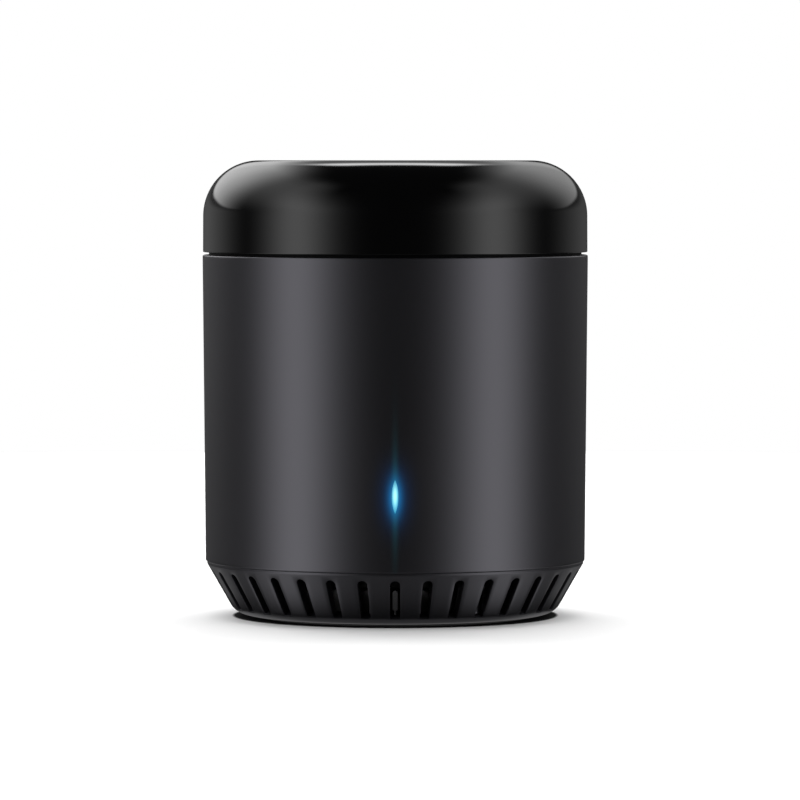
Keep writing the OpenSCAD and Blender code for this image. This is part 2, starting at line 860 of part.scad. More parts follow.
// One row beside the radio board, and one resistor at each side of the status lamp
module chip_resistors() {
    color([0.08, 0.08, 0.09]) union() {
        for (p = resistor_place_shares) beside_wifi_board(p, 1, resistor_size.y) block(resistor_size);
        for (side = [-1, 1])
            translate([side * (led_size.x + resistor_size.x + part_gap) / 2, -led_y, board_top])
                block(resistor_size);
    }
}

module status_led() {
    color([0.75, 0.88, 0.95]) translate([0, -led_y, board_top]) block(led_size);
}

// An open-topped header; z = 0 is its foot on the board
module header() {
    difference() {
        block(header_size);
        translate([0, 0, header_floor]) block([
            header_size.x - 2 * header_skin, header_size.y - 2 * header_skin, header_size.z,
        ]);
    }
}

module lower_header() {
    color(cream) translate([0, link_y, board_top]) header();
}

module upper_header() {
    color(cream) translate([0, link_y, ir_board_z]) mirror([0, 0, 1]) header();
}

module lower_plug() {
    color([0.93, 0.92, 0.88]) translate([0, link_y, lower_plug_z]) block(plug_size);
}

module upper_plug() {
    color([0.93, 0.92, 0.88]) translate([0, link_y, upper_plug_z]) mirror([0, 0, 1]) block(plug_size);
}

// A slack wire: one arc from plug to plug, cut flat where it meets them
module wire() {
    intersection() {
        translate([0, wire_arc_r - wire_bow, wire_l / 2]) rotate([90, 0, 90])
            rotate_extrude() translate([wire_arc_r, 0]) circle(wire_r);
        translate([-2 * wire_r, -wire_bow - 2 * wire_r, 0])
            cube([4 * wire_r, wire_bow + 4 * wire_r, wire_l]);
    }
}

module link_wires() {
    color([0.75, 0.12, 0.1]) for (i = [0 : wires - 1])
        translate([(i - (wires - 1) / 2) * wire_pitch, link_y, wire_foot_z]) wire();
}

// The places of all the leads that go through the infrared board
module at_emitter_leads() {
    for (a = emitter_angles) for (side = [-1, 1])
        round_at(a, lead_place) translate([0, side * lead_pitch / 2, 0]) children();
}

module at_top_leads() {
    for (side = [-1, 1]) translate([side * lead_pitch / 2, 0, 0]) children();
}

module at_receiver_leads() {
    for (i = [-1 : 1]) translate([i * lead_pitch, -receiver_y, 0]) children();
}

module lead_hole() {
    translate([0, 0, ir_board_z - cut]) cylinder(r = lead_hole_r, h = board_t + 2 * cut);
}

module ir_board() {
    color(board_black) difference() {
        translate([0, 0, ir_board_z]) cylinder(r = ir_board_r, h = board_t);
        for (a = lug_angles) round_at(a, ir_screw_place)
            translate([0, 0, ir_board_z - cut]) cylinder(r = board_hole_r, h = board_t + 2 * cut);
        at_emitter_leads() lead_hole();
        at_top_leads() lead_hole();
        at_receiver_leads() lead_hole();
    }
}

module ir_board_screws() {
    color(tin) for (a = lug_angles) round_at(a, ir_screw_place) translate([0, 0, ir_board_top]) screw();
}

// A round lamp that stands on z = 0
module lamp(r, flange_r, length) {
    cylinder(r = flange_r, h = emitter_flange_t);
    cylinder(r = r, h = length - r);
    translate([0, 0, length - r]) sphere(r);
}

module ir_emitters() {
    color([0.16, 0.14, 0.24]) for (a = emitter_angles) rotate([0, 0, a])
        translate([emitter_base, 0, emitter_z]) rotate([0, 90, 0])
            lamp(emitter_r, emitter_flange_r, emitter_l);
}

// A solder joint under the infrared board, round the lead at the origin
module solder() {
    translate([0, 0, ir_board_z - solder_h]) cylinder(r1 = lead_t / 2, r2 = solder_r, h = solder_h);
}

module ir_emitter_leads() {
    foot_z = ir_board_z - lead_below;
    color(tin) for (a = emitter_angles) for (side = [-1, 1]) rotate([0, 0, a])
        translate([lead_place, side * lead_pitch / 2, 0]) {
            translate([-lead_t / 2, -lead_t / 2, foot_z])
                cube([lead_t, lead_t, emitter_z + lead_t / 2 - foot_z]);
            translate([-lead_t / 2, -lead_t / 2, emitter_z - lead_t / 2])
                cube([lead_run + lead_t / 2, lead_t, lead_t]);
            solder();
        }
}

module top_emitter() {
    color([0.16, 0.14, 0.24]) translate([0, 0, ir_board_top]) lamp(top_r, top_flange_r, top_l);
}

// A straight lead from under the infrared board up to a height, with its solder joint
module straight_lead(top) {
    translate([-lead_t / 2, -lead_t / 2, ir_board_z - lead_below])
        cube([lead_t, lead_t, top - ir_board_z + lead_below]);
    solder();
}

module top_emitter_leads() {
    color(tin) at_top_leads() straight_lead(ir_board_top);
}

module ir_receiver() {
    color([0.05, 0.05, 0.06]) translate([0, -receiver_y, ir_board_top + receiver_lift]) union() {
        block(receiver_size);
        intersection() {
            translate([0, receiver_bulge_r - receiver_bulge - receiver_size.y / 2, receiver_lens_z])
                sphere(receiver_bulge_r);
            translate([-receiver_size.x / 2, -receiver_size.y / 2 - receiver_bulge, 0])
                cube([receiver_size.x, receiver_size.y, receiver_size.z]);
        }
    }
}

module ir_receiver_leads() {
    color(tin) at_receiver_leads() straight_lead(ir_board_top + receiver_lift);
}

module at_transistors() {
    for (a = transistor_angles)
        round_at(a, transistor_place_share * ir_board_r) translate([0, 0, ir_board_top]) children();
}

module driver_transistors() {
    color([0.06, 0.06, 0.06]) at_transistors()
        translate([0, 0, transistor_lead.z]) rotate([0, 0, 90]) block(transistor_size);
}

module transistor_leads() {
    reach = (transistor_size.y + transistor_lead.y) / 2;
    color(tin) at_transistors() rotate([0, 0, 90]) {
        for (side = [-1, 1]) translate([side * transistor_pitch / 2, -reach, 0]) block(transistor_lead);
        translate([0, reach, 0]) block(transistor_lead);
        block([transistor_lead.x, transistor_size.y, transistor_lead.z]);
    }
}

module emitter_resistors() {
    color([0.08, 0.08, 0.09]) for (a = emitter_angles)
        round_at(a, emitter_resistor_place_share * ir_board_r)
            translate([0, 0, ir_board_top]) block(emitter_resistor_size);
}

ir_dome();
neck_ring();
body_sleeve();
vent_base();
foot_pad();
light_pipe();
reset_key();
reset_switch_stem();
reset_switch_case();
reset_switch_cover();
usb_shell();
usb_tongue();
usb_contacts();
main_board();
main_board_screws();
wifi_board();
wifi_shield();
wifi_antenna();
memory_chip();
memory_chip_leads();
voltage_regulator();
regulator_leads();
power_inductor();
inductor_pads();
capacitor_can();
capacitor_base();
ceramic_capacitors();
chip_resistors();
status_led();
lower_header();
upper_header();
lower_plug();
upper_plug();
link_wires();
ir_board();
ir_board_screws();
ir_emitters();
ir_emitter_leads();
top_emitter();
top_emitter_leads();
ir_receiver();
ir_receiver_leads();
driver_transistors();
transistor_leads();
emitter_resistors();
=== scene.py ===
"""A round infrared remote-control blaster: glossy dome, satin sleeve, slotted base."""

import json
import math

import bmesh
import bpy
from mathutils import Matrix, Vector


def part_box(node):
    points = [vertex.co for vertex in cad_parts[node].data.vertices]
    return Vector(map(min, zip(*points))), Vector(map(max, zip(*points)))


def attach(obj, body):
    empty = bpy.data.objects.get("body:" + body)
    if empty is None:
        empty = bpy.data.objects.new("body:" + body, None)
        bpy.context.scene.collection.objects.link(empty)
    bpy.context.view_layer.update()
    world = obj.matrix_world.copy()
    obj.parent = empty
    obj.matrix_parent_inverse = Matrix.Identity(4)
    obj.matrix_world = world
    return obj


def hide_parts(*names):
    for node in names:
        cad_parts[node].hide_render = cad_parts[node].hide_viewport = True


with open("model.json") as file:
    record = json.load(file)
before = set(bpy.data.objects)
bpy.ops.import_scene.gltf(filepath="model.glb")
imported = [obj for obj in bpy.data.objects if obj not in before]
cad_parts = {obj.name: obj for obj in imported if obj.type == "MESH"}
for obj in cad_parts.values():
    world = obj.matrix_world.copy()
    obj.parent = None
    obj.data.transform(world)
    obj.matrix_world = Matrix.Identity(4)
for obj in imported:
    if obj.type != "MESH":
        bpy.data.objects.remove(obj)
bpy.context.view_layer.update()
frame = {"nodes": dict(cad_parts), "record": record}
nodes = frame["nodes"]

MM = 0.001
TURN = 2 * math.pi
AROUND = 360


# --------------------------------------------------------------------------- camera

# The photograph shows 7 pixels to the millimetre at the case's axis, from just above the dome's height

PHOTO_PX = 800
PX_PER_MM = 7.0
SENSOR_MM = 36
CAMERA_FAR = 792 * MM
CAMERA_HIGH = 64.5 * MM
AIM_HIGH = 30.77 * MM
AIM_RIGHT = 0.68 * MM
NEAREST = 10 * MM
FARTHEST = 50

lens_mm = CAMERA_FAR / MM * PX_PER_MM * SENSOR_MM / PHOTO_PX
camera = bpy.data.objects.new("camera", bpy.data.cameras.new("camera"))
camera.data.sensor_width = SENSOR_MM
camera.data.lens = lens_mm
camera.data.clip_start = NEAREST
camera.data.clip_end = FARTHEST
camera.location = (AIM_RIGHT, -CAMERA_FAR, CAMERA_HIGH)
look = Vector((AIM_RIGHT, 0, AIM_HIGH)) - camera.location
camera.rotation_euler = look.to_track_quat("-Z", "Y").to_euler()
bpy.context.scene.collection.objects.link(camera)
bpy.context.scene.camera = camera
bpy.context.scene.view_settings.view_transform = "Standard"


# --------------------------------------------------------------------------- sizes from the frame

dome_low, dome_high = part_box("ir_dome")
neck_low, neck_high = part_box("neck_ring")
sleeve_low, sleeve_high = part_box("body_sleeve")
base_low, base_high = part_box("vent_base")
pad_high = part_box("foot_pad")[1]
key_low, key_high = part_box("reset_key")
pipe_low, pipe_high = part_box("light_pipe")
shell_low, shell_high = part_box("usb_shell")
board_low, board_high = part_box("main_board")

# Dome
DOME_WALL = 2 * MM
DOME_SHOULDER = 7.9 * MM
DOME_DRAFT = 0.06 * MM
DOME_LIP = 0.12 * MM
dome_foot_r = dome_high.x
dome_r = dome_foot_r - DOME_DRAFT
dome_z = dome_low.z
dome_top = dome_high.z

# Sleeve
SLEEVE_TAPER = 0.4 * MM
SLEEVE_WALL = 1.8 * MM
RIM_ROUND = 0.22 * MM
BORE_ROUND = 0.3 * MM
case_r = sleeve_high.x
sleeve_foot_r = case_r - SLEEVE_TAPER
bore_r = sleeve_foot_r - SLEEVE_WALL
sleeve_top = sleeve_high.z
sleeve_foot = sleeve_low.z

# Collars, one inside the other
SLIP = 0.15 * MM
COLLAR_WALL = 1.3 * MM
NECK_SET_BACK = 0.9 * MM
collar_r = bore_r - SLIP
collar_bore_r = collar_r - COLLAR_WALL
neck_flange_r = case_r - NECK_SET_BACK
neck_collar_r = dome_foot_r - DOME_DRAFT - DOME_WALL - SLIP

# Base
BASE_SLOPE_RUN = 4.3 * MM
BASE_EDGE_R = 2.5 * MM
BASE_WALL = 1.6 * MM
FLOOR_T = 1.1 * MM
SLOT_W = 1.4 * MM
SLOT_FOOT = 1.3 * MM
SLOT_TOP_MARGIN = 1.1 * MM
SLOT_STEP = 10
SLOTS_LEFT_OUT = (80, 90, 100)   # the power inlet is there
foot_proud = base_low.z
base_foot_r = sleeve_foot_r - BASE_SLOPE_RUN
lip_r = base_high.x
slope_grade = BASE_SLOPE_RUN / (sleeve_foot - foot_proud)
slope_angle = math.atan(slope_grade)
lip_z = foot_proud + (lip_r - base_foot_r) / slope_grade
wall_run = BASE_WALL / math.cos(slope_angle)
recess_z = pad_high.z
floor_z = recess_z + FLOOR_T
collar_foot_z = foot_proud + (collar_bore_r + wall_run - base_foot_r) / slope_grade
slot_top = sleeve_foot - SLOT_TOP_MARGIN
edge_turn = math.pi / 2 - slope_angle
edge_r = base_foot_r - BASE_EDGE_R * math.tan(edge_turn / 2)
edge_z = foot_proud + BASE_EDGE_R

# Status window
WINDOW_W = 0.9 * MM
WINDOW_H = 4.6 * MM
WINDOW_GAP = 0.05 * MM
window_z = 18.5 * MM

# Inlet pocket
POCKET_W = 11.4 * MM
POCKET_H = 5.6 * MM
POCKET_SKIN = 1 * MM
USB_PROUD = 0.2 * MM
USB_SLACK = 0.25 * MM
inlet_z = (shell_low.z + shell_high.z) / 2
pocket_y = shell_high.y - USB_PROUD
pocket_foot = inlet_z - POCKET_H / 2
pocket_top = inlet_z + POCKET_H / 2


def slope_r(z):
    """The base's outer radius at a height, on the slope or on the round lower edge"""
    tangent_z = edge_z - BASE_EDGE_R * math.cos(edge_turn)
    if z >= tangent_z:
        return min(base_foot_r + (z - foot_proud) * slope_grade, lip_r)
    drop = min(edge_z - z, BASE_EDGE_R)
    return edge_r + math.sqrt(BASE_EDGE_R ** 2 - drop ** 2)


def sleeve_r(z):
    return sleeve_foot_r + (case_r - sleeve_foot_r) * (z - sleeve_foot) / (sleeve_top - sleeve_foot)


# --------------------------------------------------------------------------- mesh tools

def section(corners, closed, arc_steps=8, hold=0.25 * MM):
    """A wire in the XZ plane through (radius, height, corner radius) points, with its corners rounded.
    Each long edge gets a vertex near its ends, which keeps the shading of the flat part flat."""
    bm = bmesh.new()
    count = len(corners)
    spots = [Vector((c[0], 0, c[1])) for c in corners]
    reach = []
    for i, c in enumerate(corners):
        radius = c[2] if len(c) > 2 else 0
        if not radius or (not closed and i in (0, count - 1)):
            reach.append(0)
            continue
        a = (spots[i - 1] - spots[i]).normalized()
        b = (spots[(i + 1) % count] - spots[i]).normalized()
        reach.append(radius / math.tan(a.angle(b) / 2))
    verts = [bm.verts.new(p) for p in spots]
    rounded = [(v, r) for v, r in zip(verts, reach) if r]
    for i in range(count if closed else count - 1):
        j = (i + 1) % count
        along = spots[j] - spots[i]
        stops = [verts[i]]
        near, far = reach[i] + hold, along.length - reach[j] - hold
        if near <= far and along.length > reach[i] + reach[j] + 3 * hold:
            stops += [bm.verts.new(spots[i] + along.normalized() * d) for d in (near, far)]
        stops.append(verts[j])
        for p, q in zip(stops, stops[1:]):
            bm.edges.new((p, q))
    for v, r in rounded:
        round_corner(bm, v, r, arc_steps)
    return bm


def round_corner(bm, vert, by, steps):
    bmesh.ops.bevel(bm, geom=[vert], offset=by, offset_type="OFFSET", segments=steps, profile=0.5,
                    affect="VERTICES", material=-1)


def round_edges(bm, edges, by, steps, clamp=False):
    bmesh.ops.bevel(bm, geom=edges, offset=by, segments=steps, profile=0.5, affect="EDGES", material=-1,
                    clamp_overlap=clamp)


def cut_level(bm, z):
    """Adds a vertex where a wire crosses a height"""
    bmesh.ops.bisect_plane(bm, geom=bm.verts[:] + bm.edges[:], plane_co=(0, 0, z), plane_no=(0, 0, 1))


def split_long(bm, longest):
    """Cuts a wire's long edges into equal parts"""
    for e in bm.edges[:]:
        parts = math.ceil(e.calc_length() / longest - 1e-6)
        if parts > 1:
            bmesh.ops.subdivide_edges(bm, edges=[e], cuts=parts - 1)


def turn_round(bm, steps=AROUND):
    """Spins a wire into a closed skin round Z"""
    bmesh.ops.spin(bm, geom=bm.verts[:] + bm.edges[:], cent=(0, 0, 0), axis=(0, 0, 1), angle=TURN,
                   steps=steps, use_merge=True)
    bmesh.ops.remove_doubles(bm, verts=bm.verts[:], dist=0.5e-6)
    return bm


def finish_mesh(bm, name, sharp=30):
    """Makes the object, with its faces outward and shaded smooth up to an angle"""
    bmesh.ops.recalc_face_normals(bm, faces=bm.faces[:])
    mesh = bpy.data.meshes.new(name)
    for f in bm.faces:
        f.smooth = True
    bm.to_mesh(mesh)
    bm.free()
    mesh.set_sharp_from_angle(angle=math.radians(sharp))
    piece = bpy.data.objects.new(name, mesh)
    bpy.context.scene.collection.objects.link(piece)
    return piece


def box_part(low, high, round_by, steps=2):
    """A block between two corners with its edges rounded"""
    bm = bmesh.new()
    low, high = Vector(low), Vector(high)
    bmesh.ops.create_cube(bm, size=1)
    bmesh.ops.scale(bm, vec=high - low, verts=bm.verts[:])
    bmesh.ops.translate(bm, vec=(low + high) / 2, verts=bm.verts[:])
    round_edges(bm, bm.edges[:], round_by, steps)
    return bm


def join(parts):
    """Puts several meshes into the first"""
    whole = parts[0]
    for part in parts[1:]:
        mesh = bpy.data.meshes.new("part")
        part.to_mesh(mesh)
        part.free()
        whole.from_mesh(mesh)
        bpy.data.meshes.remove(mesh)
    return whole


def spots_of(bm):
    """A closed wire's points in order"""
    v = bm.verts[:][0]
    e = v.link_edges[0]
    spots = []
    while True:
        spots.append(v.co.copy())
        v = e.other_vert(v)
        if (v.co - spots[0]).length < 1e-9:
            break
        e = next(k for k in v.link_edges if k is not e)
    bm.free()
    return spots


def wire_loop(bm, spots):
    """A closed wire through the points: its edges"""
    verts = [bm.verts.new(p) for p in spots]
    return [bm.edges.new((a, b)) for a, b in zip(verts, verts[1:] + verts[:1])]


def rounded_outline(half_w, foot, top, foot_round, top_round, foot_steps, top_steps, longest=None):
    """An upright rectangle with rounded corners in the XZ plane: its points in order"""
    bm = bmesh.new()
    corners = (-half_w, 0, foot), (half_w, 0, foot), (half_w, 0, top), (-half_w, 0, top)
    wire_loop(bm, [Vector(c) for c in corners])
    for v in bm.verts[:]:
        if v.co.z > (foot + top) / 2:
            round_corner(bm, v, top_round, top_steps)
        else:
            round_corner(bm, v, foot_round, foot_steps)
    if longest:
        split_long(bm, longest)
    return spots_of(bm)


def open_wall(bm, outer_faces, outer_spots, inner_faces, inner_spots):
    """Cuts an opening with the given rims through a wall, where the faces pass the two tests"""
    rims = []
    for chosen, spots in ((outer_faces, outer_spots), (inner_faces, inner_spots)):
        bmesh.ops.delete(bm, geom=[f for f in bm.faces if chosen(f)], context="FACES")
        open_edges = [e for e in bm.edges if len(e.link_faces) == 1 and not any(e in rim for rim in rims)]
        rims.append(wire_loop(bm, spots))
        bmesh.ops.bridge_loops(bm, edges=open_edges + rims[-1])
    bmesh.ops.bridge_loops(bm, edges=rims[0] + rims[1])


def about(angle):
    return Matrix.Rotation(angle, 3, "Z")


def azimuth(p):
    return math.atan2(p.y, p.x)


def off_angle(a, b):
    return abs((a - b + math.pi) % TURN - math.pi)


# --------------------------------------------------------------------------- shader tools

class Value:
    """A socket's value. Sums on it add Math nodes to its tree."""

    def __init__(self, tree, socket):
        self.tree, self.socket = tree, socket

    def math(self, operation, *values):
        return self.tree.node("ShaderNodeMath", {"operation": operation}, dict(enumerate(values)))

    def __add__(self, other):
        return self.math("ADD", self, other)

    def __radd__(self, other):
        return self.math("ADD", other, self)

    def __sub__(self, other):
        return self.math("SUBTRACT", self, other)

    def __rsub__(self, other):
        return self.math("SUBTRACT", other, self)

    def __mul__(self, other):
        return self.math("MULTIPLY", self, other)

    def __rmul__(self, other):
        return self.math("MULTIPLY", other, self)

    def __truediv__(self, other):
        return self.math("DIVIDE", self, other)

    def __rtruediv__(self, other):
        return self.math("DIVIDE", other, self)

    def __pow__(self, other):
        return self.math("POWER", self, other)

    def __abs__(self):
        return self.math("ABSOLUTE", self)

    def exp(self):
        return self.math("EXPONENT", self)


class Tree:
    """Adds nodes to one material's or the world's tree"""

    def __init__(self, owner):
        owner.use_nodes = True
        self.nodes, self.links = owner.node_tree.nodes, owner.node_tree.links
        self.nodes.clear()

    def node(self, kind, settings=None, values=None, out=0):
        made = self.nodes.new(kind)
        for key, value in (settings or {}).items():
            setattr(made, key, value)
        for key, value in (values or {}).items():
            if isinstance(value, Value):
                self.links.new(value.socket, made.inputs[key])
            else:
                made.inputs[key].default_value = value
        return Value(self, made.outputs[out]) if made.outputs else made

    def places(self):
        """Object coordinates, and their three parts"""
        spot = self.node("ShaderNodeTexCoord", out="Object")
        return spot, [self.node("ShaderNodeSeparateXYZ", {}, {0: spot}, out=i) for i in range(3)]

    def noise(self, spot, scale, detail=3, roughness=0.5):
        return self.node("ShaderNodeTexNoise", {}, {"Vector": spot, "Scale": scale, "Detail": detail,
                                                    "Roughness": roughness})

    def ease(self, value, low, high, to_low=0, to_high=1):
        """Goes smoothly from one value to another, also where low is above high"""
        if low > high:
            low, high, to_low, to_high = high, low, to_high, to_low
        return self.node("ShaderNodeMapRange", {"interpolation_type": "SMOOTHSTEP"}, {
            "Value": value, "From Min": low, "From Max": high, "To Min": to_low, "To Max": to_high})

    def blend(self, factor, a, b):
        return self.node("ShaderNodeMix", {"data_type": "RGBA"}, {0: factor, 6: a, 7: b}, out=2)

    def bell(self, value, centre, spread):
        """1 at the centre, falling off smoothly to both sides"""
        off = (value - centre) / spread
        return (off * off * -0.5).exp()


def rgb(r, g, b):
    return (r, g, b, 1)


def surface(name, settings, build=None):
    """A material round one Principled shader. Uniform values are set on its sockets, and build() returns
    what varies over the surface: socket name to value, and the bump's height in metres."""
    material = bpy.data.materials.new(name)
    tree = Tree(material)
    varying, bump = build(tree) if build else ({}, None)
    if bump:
        height, depth = bump
        varying["Normal"] = tree.node("ShaderNodeBump", {}, {
            "Height": height, "Distance": depth, "Strength": 1.0})
    shader = tree.node("ShaderNodeBsdfPrincipled", {}, {**settings, **varying})
    tree.node("ShaderNodeOutputMaterial", {}, {"Surface": shader})
    return material


def moulded(name, dark, pale, rough, grain, depth, spread=0.04, **settings):
    """Moulded plastic or rubber: two close tones in a slow drift, with a fine grain"""
    def build(tree):
        spot, _ = tree.places()
        slow = tree.noise(spot, 90, 2)
        fine = tree.noise(spot, grain, 4, 0.6)
        tone = tree.blend(tree.ease(slow, 0.3, 0.7), rgb(*dark), rgb(*pale))
        return {"Base Color": tone, "Roughness": rough + (fine - 0.5) * spread}, (fine, depth)
    return surface(name, settings, build)


# --------------------------------------------------------------------------- finishes

def dome_build(tree):
    """High gloss with a faint orange peel"""
    spot, _ = tree.places()
    slow = tree.noise(spot, 60, 2)
    peel = tree.noise(spot, 900, 2)
    tone = tree.blend(tree.ease(slow, 0.3, 0.7), rgb(0.0016, 0.0016, 0.0018), rgb(0.0022, 0.0022, 0.0024))
    return {"Base Color": tone, "Roughness": 0.085 + (slow - 0.5) * 0.02}, (peel, 0.00000035)


dome_gloss = surface("dome_gloss", {"IOR": 1.5}, dome_build)


SATIN_IOR = 1.95
COOL = rgb(0.915, 0.90, 1.0)   # the satin skin throws the light back a little cooler


def sleeve_build(tree):
    """Satin skin, with a painted glow round the window: the skin itself emits, standing in for the status
    light's spread
    """
    spot, (x, y, z) = tree.places()
    slow = tree.noise(spot, 70, 2)
    fine = tree.noise(spot, 9000, 3, 0.6)
    tone = tree.blend(tree.ease(slow, 0.3, 0.7), rgb(0.0040, 0.0040, 0.0046), rgb(0.0050, 0.0050, 0.0058))
    # Painted glow on the skin round the window: a core, a wide halo and a streak up and down, set as emission
    # colour
    up = z - window_z
    front = tree.ease(y, -0.020, -0.024)
    glow = tree.bell(x, 0, 0.60 * MM) * tree.bell(up, -0.1 * MM, 1.6 * MM)
    wide = tree.bell(x, 0, 1.3 * MM) * tree.bell(up, 0, 2.6 * MM)
    streak = tree.bell(x, 0, 0.3 * MM) * (abs(up) / (-3.1 * MM)).exp()
    light = tree.node("ShaderNodeCombineColor", {}, {
        "Red": front * (streak * 0.008 + glow * 0.006),
        "Green": front * (glow * 0.16 + streak * 0.09 + wide * 0.018),
        "Blue": front * (glow * 0.42 + streak * 0.11 + wide * 0.065),
    })
    varying = {"Base Color": tone, "Roughness": 0.36 + (fine - 0.5) * 0.05, "Emission Color": light}
    return varying, (fine, 0.0000009)


# The skin's emission is the painted glow round the window
satin_sleeve = surface("satin_sleeve", {"IOR": SATIN_IOR, "Specular Tint": COOL, "Emission Strength": 1.0},
                       sleeve_build)
satin_base = moulded("satin_base", (0.0045, 0.0045, 0.0052), (0.0060, 0.0060, 0.0070), 0.37, 8000, 0.0000009,
                     **{"IOR": SATIN_IOR - 0.09, "Specular Tint": COOL})
# Its low IOR dims the neck's reflections, standing in for the shade deep in the groove under the dome
neck_black = moulded("neck_black", (0.004, 0.004, 0.0045), (0.006, 0.006, 0.0065), 0.5, 6000, 0.000001,
                     IOR=1.18)
pad_rubber = moulded("pad_rubber", (0.010, 0.010, 0.010), (0.016, 0.016, 0.016), 0.72, 4000, 0.000004)
key_grey = moulded("key_grey", (0.055, 0.055, 0.058), (0.07, 0.07, 0.073), 0.5, 7000, 0.000001)


def window_build(tree):
    """The light guide. Its window glows white in the middle and blue towards the rim."""
    spot, (x, y, z) = tree.places()
    up = (z - window_z) / (WINDOW_H / 2)
    across = x / (WINDOW_W / 2)
    core = tree.bell(across, 0, 0.5) * tree.bell(up, 0.06, 0.44)
    body = tree.bell(across, 0, 0.85) * tree.bell(up, -0.02, 0.75)
    front = tree.ease(y, -0.0240, -0.0262)
    light = tree.node("ShaderNodeCombineColor", {}, {
        "Red": front * (core * 0.52),
        "Green": front * (core * 0.68 + body * 0.52),
        "Blue": front * (core * 0.35 + body * 0.90),
    })
    grain = tree.noise(spot, 3000, 2)
    return {"Emission Color": light, "Roughness": 0.2 + grain * 0.05}, None


window_glow = surface("window_glow", {"Base Color": rgb(0.05, 0.2, 0.3), "IOR": 1.49,
                                      "Emission Strength": 1.0}, window_build)


def plated_build(tree):
    """Bright plated sheet"""
    spot, _ = tree.places()
    fine = tree.noise(spot, 5000, 3)
    slow = tree.noise(spot, 300, 2)
    tone = tree.blend(slow, rgb(0.55, 0.56, 0.57), rgb(0.68, 0.68, 0.68))
    return {"Base Color": tone, "Roughness": 0.24 + fine * 0.12}, (fine, 0.0000008)


plated_steel = surface("plated_steel", {"Metallic": 1.0}, plated_build)


def brushed(name, dark, pale, rough, metallic):
    """Metal or a hard package with a fine, slightly uneven skin"""
    def build(tree):
        spot, _ = tree.places()
        fine = tree.noise(spot, 4500, 3)
        tone = tree.blend(tree.noise(spot, 250, 2), rgb(*dark), rgb(*pale))
        return {"Base Color": tone, "Roughness": rough + (fine - 0.5) * 0.1}, (fine, 0.0000012)
    return surface(name, {"Metallic": metallic}, build)


def board_finish(name, mask, track):
    """Solder mask over a faint pattern of tracks"""
    def build(tree):
        spot, _ = tree.places()
        grid = tree.node("ShaderNodeTexBrick", {"offset": 0.37}, {
            "Vector": spot, "Scale": 420.0, "Mortar Size": 0.06, "Mortar Smooth": 0.2,
            "Brick Width": 1.3, "Row Height": 0.35,
            "Color1": rgb(*mask), "Color2": rgb(*mask), "Mortar": rgb(*track)})
        fine = tree.noise(spot, 3000, 3)
        return {"Base Color": grid, "Roughness": 0.32 + (fine - 0.5) * 0.12}, (fine, 0.000001)
    return surface(name, {"Coat Weight": 0.3}, build)


finishes = {
    "board": board_finish("board_mask", (0.006, 0.007, 0.008), (0.012, 0.014, 0.015)),
    "radio_board": board_finish("radio_mask", (0.004, 0.02, 0.05), (0.01, 0.04, 0.09)),
    "chip_plastic": moulded("chip_plastic", (0.012, 0.012, 0.012), (0.02, 0.02, 0.02), 0.55, 6000, 0.000002),
    "tinned_leads": brushed("tinned_leads", (0.5, 0.5, 0.51), (0.66, 0.66, 0.66), 0.28, 1.0),
    "connector_steel": plated_steel,
    "contact_gold": brushed("contact_gold", (0.75, 0.5, 0.16), (0.86, 0.62, 0.24), 0.25, 1.0),
    "ferrite": moulded("ferrite", (0.03, 0.03, 0.032), (0.045, 0.045, 0.048), 0.6, 5000, 0.000003),
    "can_aluminium": brushed("can_aluminium", (0.62, 0.63, 0.64), (0.74, 0.75, 0.76), 0.32, 1.0),
    "ceramic_body": moulded("ceramic_body", (0.30, 0.20, 0.12), (0.38, 0.27, 0.16), 0.5, 5000, 0.000001),
    "lamp_lens": surface("lamp_lens", {
        "Base Color": rgb(0.5, 0.75, 0.85), "Emission Color": rgb(0.1, 0.5, 0.8), "Emission Strength": 0.6}),
    "header_plastic": moulded("header_plastic", (0.66, 0.62, 0.5), (0.74, 0.7, 0.58), 0.45, 5000, 0.000001),
    "wire_jacket": moulded("wire_jacket", (0.45, 0.02, 0.015), (0.56, 0.03, 0.02), 0.4, 5000, 0.000001),
    "emitter_lens": moulded("emitter_lens", (0.012, 0.009, 0.022), (0.02, 0.014, 0.035), 0.12, 2000,
                            0.0000004),
    "steel_screw": brushed("steel_screw", (0.5, 0.5, 0.5), (0.62, 0.62, 0.62), 0.34, 1.0),
    "inner_plastic": moulded("inner_plastic", (0.008, 0.008, 0.009), (0.013, 0.013, 0.014), 0.5, 6000,
                             0.000001),
}

for subpart in frame["record"]["subparts"]:
    finish = finishes.get(subpart["material_slot"])
    if finish:
        mesh = nodes[subpart["node"]].data
        mesh.materials.clear()
        mesh.materials.append(finish)


def place(piece, body, slot_name, material, *replaced):
    piece.data.materials.append(material)
    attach(piece, body)
    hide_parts(*replaced)


# --------------------------------------------------------------------------- dome

dome_bm = section([
    (0, dome_top), (dome_r, dome_top, DOME_SHOULDER), (dome_foot_r, dome_z, DOME_LIP),
    (dome_r - DOME_WALL, dome_z, DOME_LIP),
    (dome_r - DOME_WALL, dome_top - DOME_WALL, DOME_SHOULDER - DOME_WALL), (0, dome_top - DOME_WALL),
], closed=False, arc_steps=28)
dome = finish_mesh(turn_round(dome_bm), "dome")
place(dome, "case", "dome_plastic", dome_gloss, "ir_dome")


# --------------------------------------------------------------------------- neck ring

